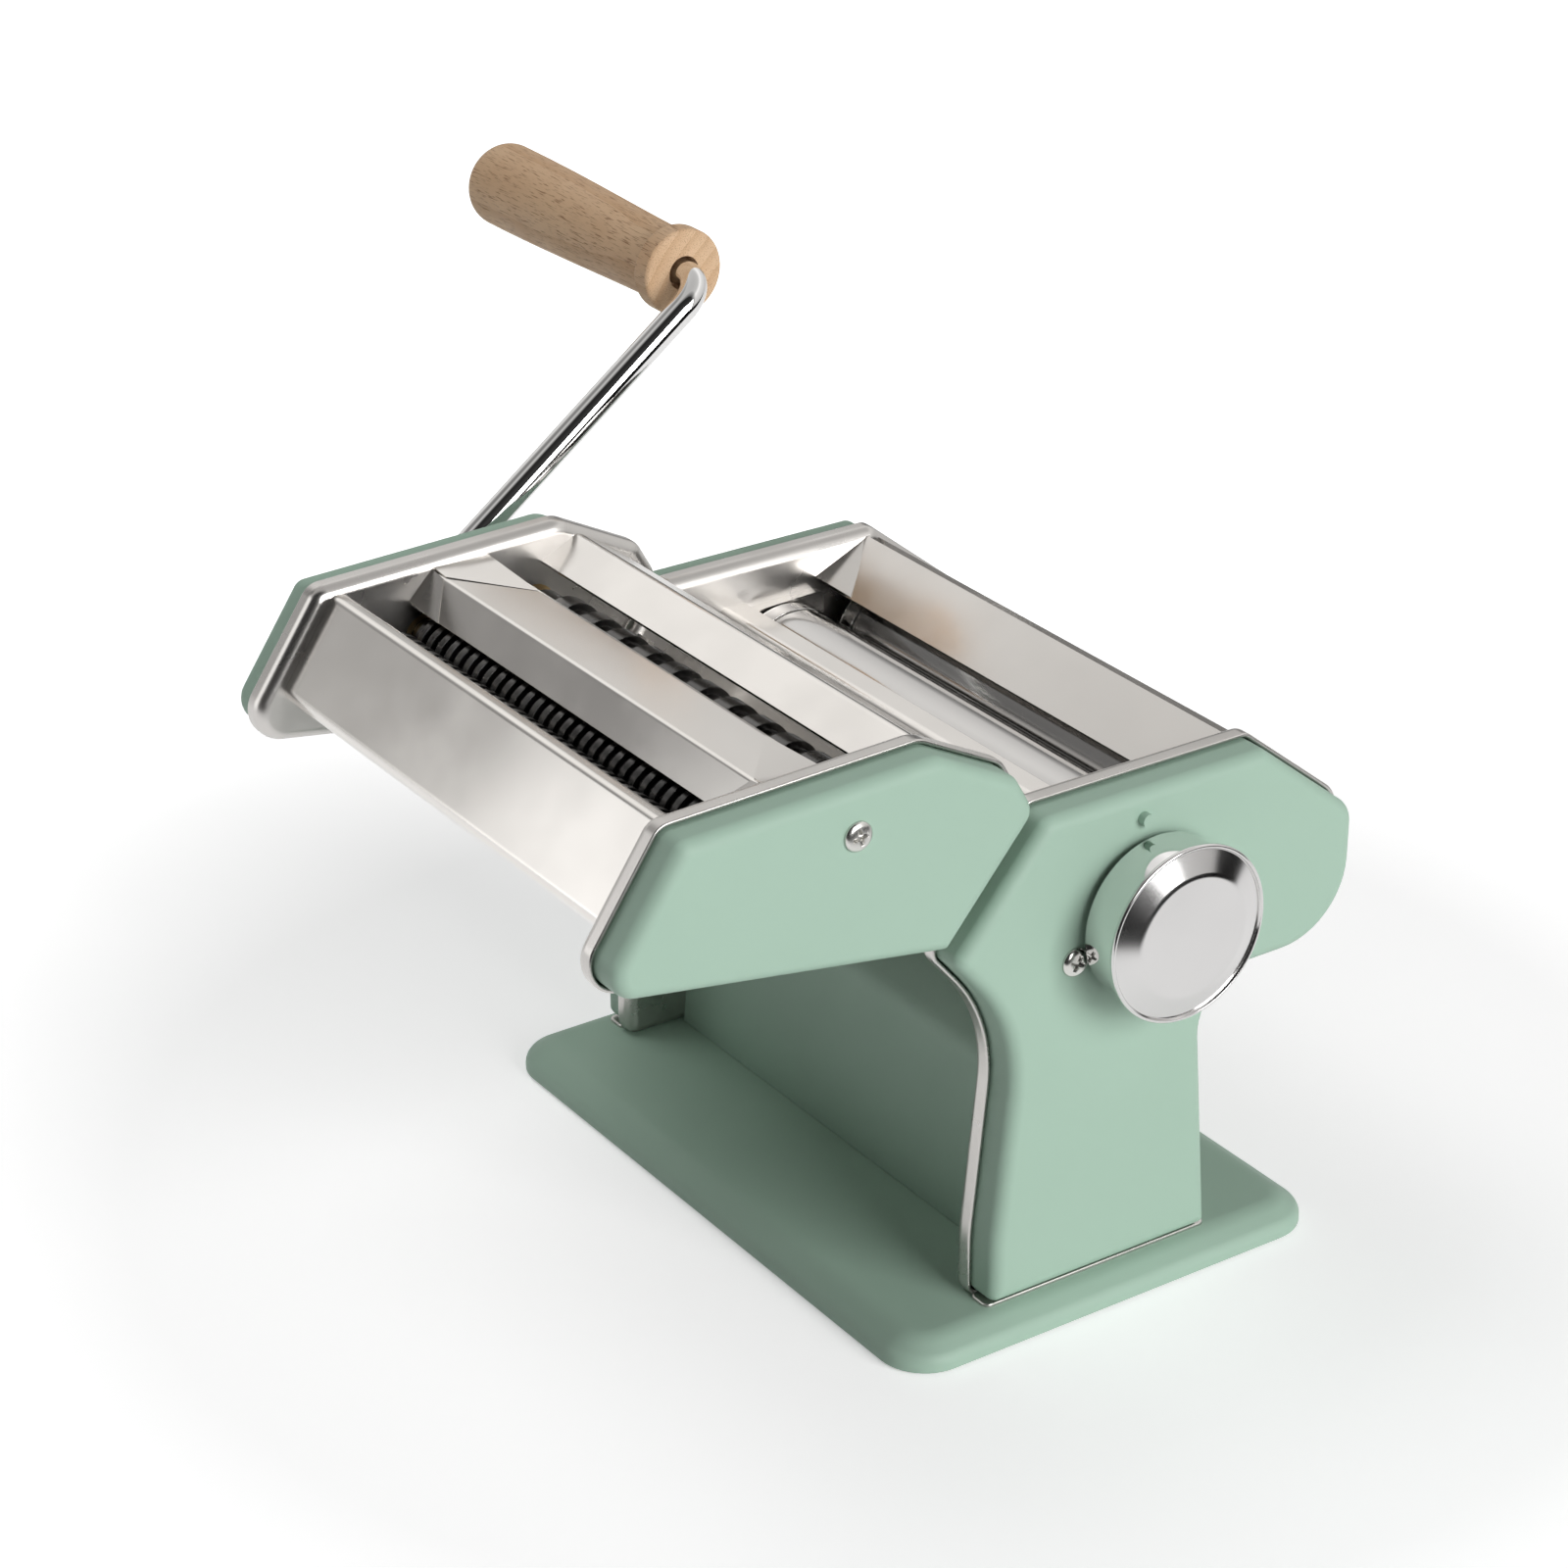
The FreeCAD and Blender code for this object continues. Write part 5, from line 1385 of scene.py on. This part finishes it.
@dataclass
class Studio:
    """Camera at the photograph's angle, soft light, pale floor and plain background.

    Attributes:
        azimuth: camera's turn from the front towards the right, in degrees.
        elevation: camera's height in degrees.
        distance: from the target to the camera, in metres.
        target: point that camera and lamps face.
        lens: focal length in millimetres on a sensor 36 mm wide.
        lamps: the lamps.
        floor_radius: radius of the floor in millimetres.
        floor_z: height of the floor in millimetres.
        floor_tone: the floor's own shade.
        room_tone: shade of the dark room that polished metal sees beyond the table.
        floor_lift_with_painted_shade: distances from the middle, and the white that the camera sees added
            there, less near the middle as painted shade.
        table_edge: places along X, and the glow that polished metal sees there.
        fill: even light on matt faces.
        walls: (height, level) of the pale walls that metal mirrors, from straight down to straight up.
        wall_tint: colour of the walls.
        cards: directions of dark cards that metal mirrors.
        card_spans: where each card starts and is full, as cosines, and its level.
    """

    azimuth: float = 55.69
    elevation: float = 26.27
    distance: float = 1.0838
    target: Triple = (0.0, -0.0401, 0.1247)
    lens: float = 93.05
    lamps: tuple[Lamp, ...] = (
        Lamp("side_lamp", (3.2, 0.5, 1.25), 2.0, 93.0),
        Lamp("top_lamp", (-0.6, -0.4, 1.3), 0.8, 5.0, mirrored=False),
        Lamp("front_card", (-0.20, -0.47, 0.26), 0.3, 0.26, matt=False))
    floor_radius: float = 9000.0
    floor_z: float = -0.2
    floor_tone: float = 0.92
    room_tone: float = 0.01
    # Less white near the middle than beyond: painted shade round the machine.
    floor_lift_with_painted_shade: Span = (0.22, 0.46, 0.44, 1.0)
    table_edge: Span = (0.34, 0.40, 0.55, 0.0)
    fill: float = 0.13
    walls: tuple[Pair, ...] = (
        (0.0, 0.8), (0.5, 0.68), (0.60, 0.80), (0.72, 0.92), (0.83, 1.2), (0.90, 0.7), (1.0, 0.6))
    wall_tint: Triple = (1.0, 0.99, 0.975)
    cards: tuple[Triple, ...] = ((0.80, -0.52, 0.30), (-0.62, -0.54, 0.57), (-0.72, 0.69, 0.10))
    card_spans: tuple[Triple, ...] = ((0.42, 0.64, 0.04), (0.87, 0.975, 0.24), (0.945, 0.99, 0.2))

    def camera(self) -> None:
        """Place the camera on a sphere about the target."""
        turn, lift = math.radians(self.azimuth), math.radians(self.elevation)
        back = Vector((math.sin(turn) * math.cos(lift), -math.cos(turn) * math.cos(lift), math.sin(lift)))
        data = bpy.data.cameras.new("photo_camera")
        data.lens, data.sensor_width = self.lens, 36.0
        eye = bpy.data.objects.new("photo_camera", data)
        place = Matrix.Translation(Vector(self.target) + back * self.distance)
        eye.matrix_world = place @ back.to_track_quat("Z", "Y").to_matrix().to_4x4()
        bpy.context.scene.collection.objects.link(eye)
        bpy.context.scene.camera = eye

    @staticmethod
    def ranged(tree: bpy.types.NodeTree, source: bpy.types.NodeSocket, span: Span) -> bpy.types.NodeSocket:
        """Value carried from one span onto another.

        Args:
            tree: the nodes.
            source: the value.
            span: (from, from, to, to).

        Returns:
            The carried value.
        """
        node = tree.nodes.new("ShaderNodeMapRange")
        for label, value in zip(("From Min", "From Max", "To Min", "To Max"), span):
            node.inputs[label].default_value = value
        tree.links.new(source, node.inputs["Value"])
        return node.outputs["Result"]

    @staticmethod
    def sums(tree: bpy.types.NodeTree, operation: str,
             *sources: bpy.types.NodeSocket) -> bpy.types.NodeSocket:
        """Sum of values.

        Args:
            tree: the nodes.
            operation: name of the sum.
            sources: the values, in order.

        Returns:
            The sum's result.
        """
        node = tree.nodes.new("ShaderNodeMath")
        node.operation = operation
        for source, socket in zip(sources, node.inputs):
            tree.links.new(source, socket)
        return node.outputs["Value"]

    def floor(self) -> None:
        """Pale round floor, seen lifted to white away from the machine, and less lifted near it as painted
        shade.

        Polished metal mirrors it as a pale table that ends on the right, with a dark room beyond.
        """
        skin = Skin()
        skin.polygon(np.column_stack([ring(0.0, 0.0, self.floor_radius, 64), np.full(64, self.floor_z)]))
        floor = skin.build("studio_floor")
        made = bpy.data.materials.new("floor_finish")
        made.use_nodes = True
        tree = made.node_tree
        shader = tree.nodes["Principled BSDF"]
        shader.inputs["Roughness"].default_value = 0.9
        shader.inputs["Specular IOR Level"].default_value = 0.0
        shader.inputs["Emission Color"].default_value = (1.0, 1.0, 1.0, 1.0)
        path = tree.nodes.new("ShaderNodeLightPath").outputs
        place = tree.nodes.new("ShaderNodeTexCoord")
        split = tree.nodes.new("ShaderNodeSeparateXYZ")
        reach = tree.nodes.new("ShaderNodeVectorMath")
        reach.operation = "LENGTH"
        tree.links.new(place.outputs["Object"], split.inputs["Vector"])
        tree.links.new(place.outputs["Object"], reach.inputs[0])
        # The smaller lift near the machine is painted shade that deepens its shadow.
        lifted = self.ranged(tree, reach.outputs["Value"], self.floor_lift_with_painted_shade)
        seen = self.sums(tree, "MULTIPLY", path["Is Camera Ray"], lifted)
        table = self.ranged(tree, split.outputs["X"], self.table_edge)
        glow = self.sums(tree, "MULTIPLY_ADD", path["Is Glossy Ray"], table, seen)
        tree.links.new(glow, shader.inputs["Emission Strength"])
        beyond = self.ranged(tree, table, (self.table_edge[2], 0.0, 0.0, 1.0))
        tint = tree.nodes.new("ShaderNodeMix")
        tint.data_type = "RGBA"
        tint.inputs["A"].default_value = (self.floor_tone, self.floor_tone, self.floor_tone, 1.0)
        tint.inputs["B"].default_value = (self.room_tone, self.room_tone, self.room_tone, 1.0)
        tree.links.new(self.sums(tree, "MULTIPLY", path["Is Glossy Ray"], beyond), tint.inputs["Factor"])
        tree.links.new(tint.outputs["Result"], shader.inputs["Base Color"])
        floor.data.materials.append(made)

    def mirrored(self, tree: bpy.types.NodeTree) -> bpy.types.Node:
        """Background that polished metal mirrors: pale walls by height, darkened where the cards stand.

        Args:
            tree: the world's nodes.

        Returns:
            The background's node.
        """
        place = tree.nodes.new("ShaderNodeTexCoord").outputs["Generated"]
        split = tree.nodes.new("ShaderNodeSeparateXYZ")
        tree.links.new(place, split.inputs["Vector"])
        walls = tree.nodes.new("ShaderNodeValToRGB")
        ramp = walls.color_ramp
        for position, _ in self.walls[1:-1]:
            ramp.elements.new(position)
        for element, (position, level) in zip(ramp.elements, self.walls):
            element.position = position
            element.color = (*(level * share for share in self.wall_tint), 1.0)
        tree.links.new(self.ranged(tree, split.outputs["Z"], (-1.0, 1.0, 0.0, 1.0)), walls.inputs["Fac"])
        shades = []
        for card, (near, full, level) in zip(self.cards, self.card_spans):
            facing = tree.nodes.new("ShaderNodeVectorMath")
            facing.operation = "DOT_PRODUCT"
            facing.inputs[1].default_value = card
            tree.links.new(place, facing.inputs[0])
            shades.append(self.ranged(tree, facing.outputs["Value"], (near, full, 1.0, level)))
        mirror = tree.nodes.new("ShaderNodeBackground")
        tree.links.new(walls.outputs["Color"], mirror.inputs["Color"])
        tree.links.new(reduce(partial(self.sums, tree, "MULTIPLY"), shades), mirror.inputs["Strength"])
        return mirror

    def world(self) -> None:
        """White for camera rays, an even soft fill for matt faces, and walls and cards for metal to mirror."""
        world = bpy.data.worlds.new("studio_world")
        bpy.context.scene.world = world
        world.use_nodes = True
        tree = world.node_tree
        tree.nodes.clear()
        out = tree.nodes.new("ShaderNodeOutputWorld")
        path = tree.nodes.new("ShaderNodeLightPath").outputs
        mirror = self.mirrored(tree)
        fill, white = tree.nodes.new("ShaderNodeBackground"), tree.nodes.new("ShaderNodeBackground")
        fill.inputs["Strength"].default_value = self.fill
        white.inputs["Strength"].default_value = 1.0
        glossy, camera = tree.nodes.new("ShaderNodeMixShader"), tree.nodes.new("ShaderNodeMixShader")
        tree.links.new(path["Is Glossy Ray"], glossy.inputs[0])
        tree.links.new(fill.outputs[0], glossy.inputs[1])
        tree.links.new(mirror.outputs[0], glossy.inputs[2])
        tree.links.new(path["Is Camera Ray"], camera.inputs[0])
        tree.links.new(glossy.outputs[0], camera.inputs[1])
        tree.links.new(white.outputs[0], camera.inputs[2])
        tree.links.new(camera.outputs[0], out.inputs["Surface"])

    def build(self) -> None:
        """Set up the camera, the lamps, the floor and the world."""
        self.camera()
        for lamp in self.lamps:
            lamp.build(Vector(self.target))
        self.floor()
        self.world()
        bpy.context.scene.view_settings.view_transform = "Standard"


def main() -> None:
    """Load the frame, build each sub-assembly, and set up the studio."""
    logging.basicConfig(level=logging.INFO, format="%(name)s: %(message)s")
    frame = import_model()
    shop = Workshop(frame)
    for assembly in (SidePlates(), CrossHeadScrews(), Rollers(), ThicknessKnob(), Crank(), Sheets()):
        assembly.build(shop)
    Studio().build()
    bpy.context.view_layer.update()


if __name__ == "__main__":
    main()
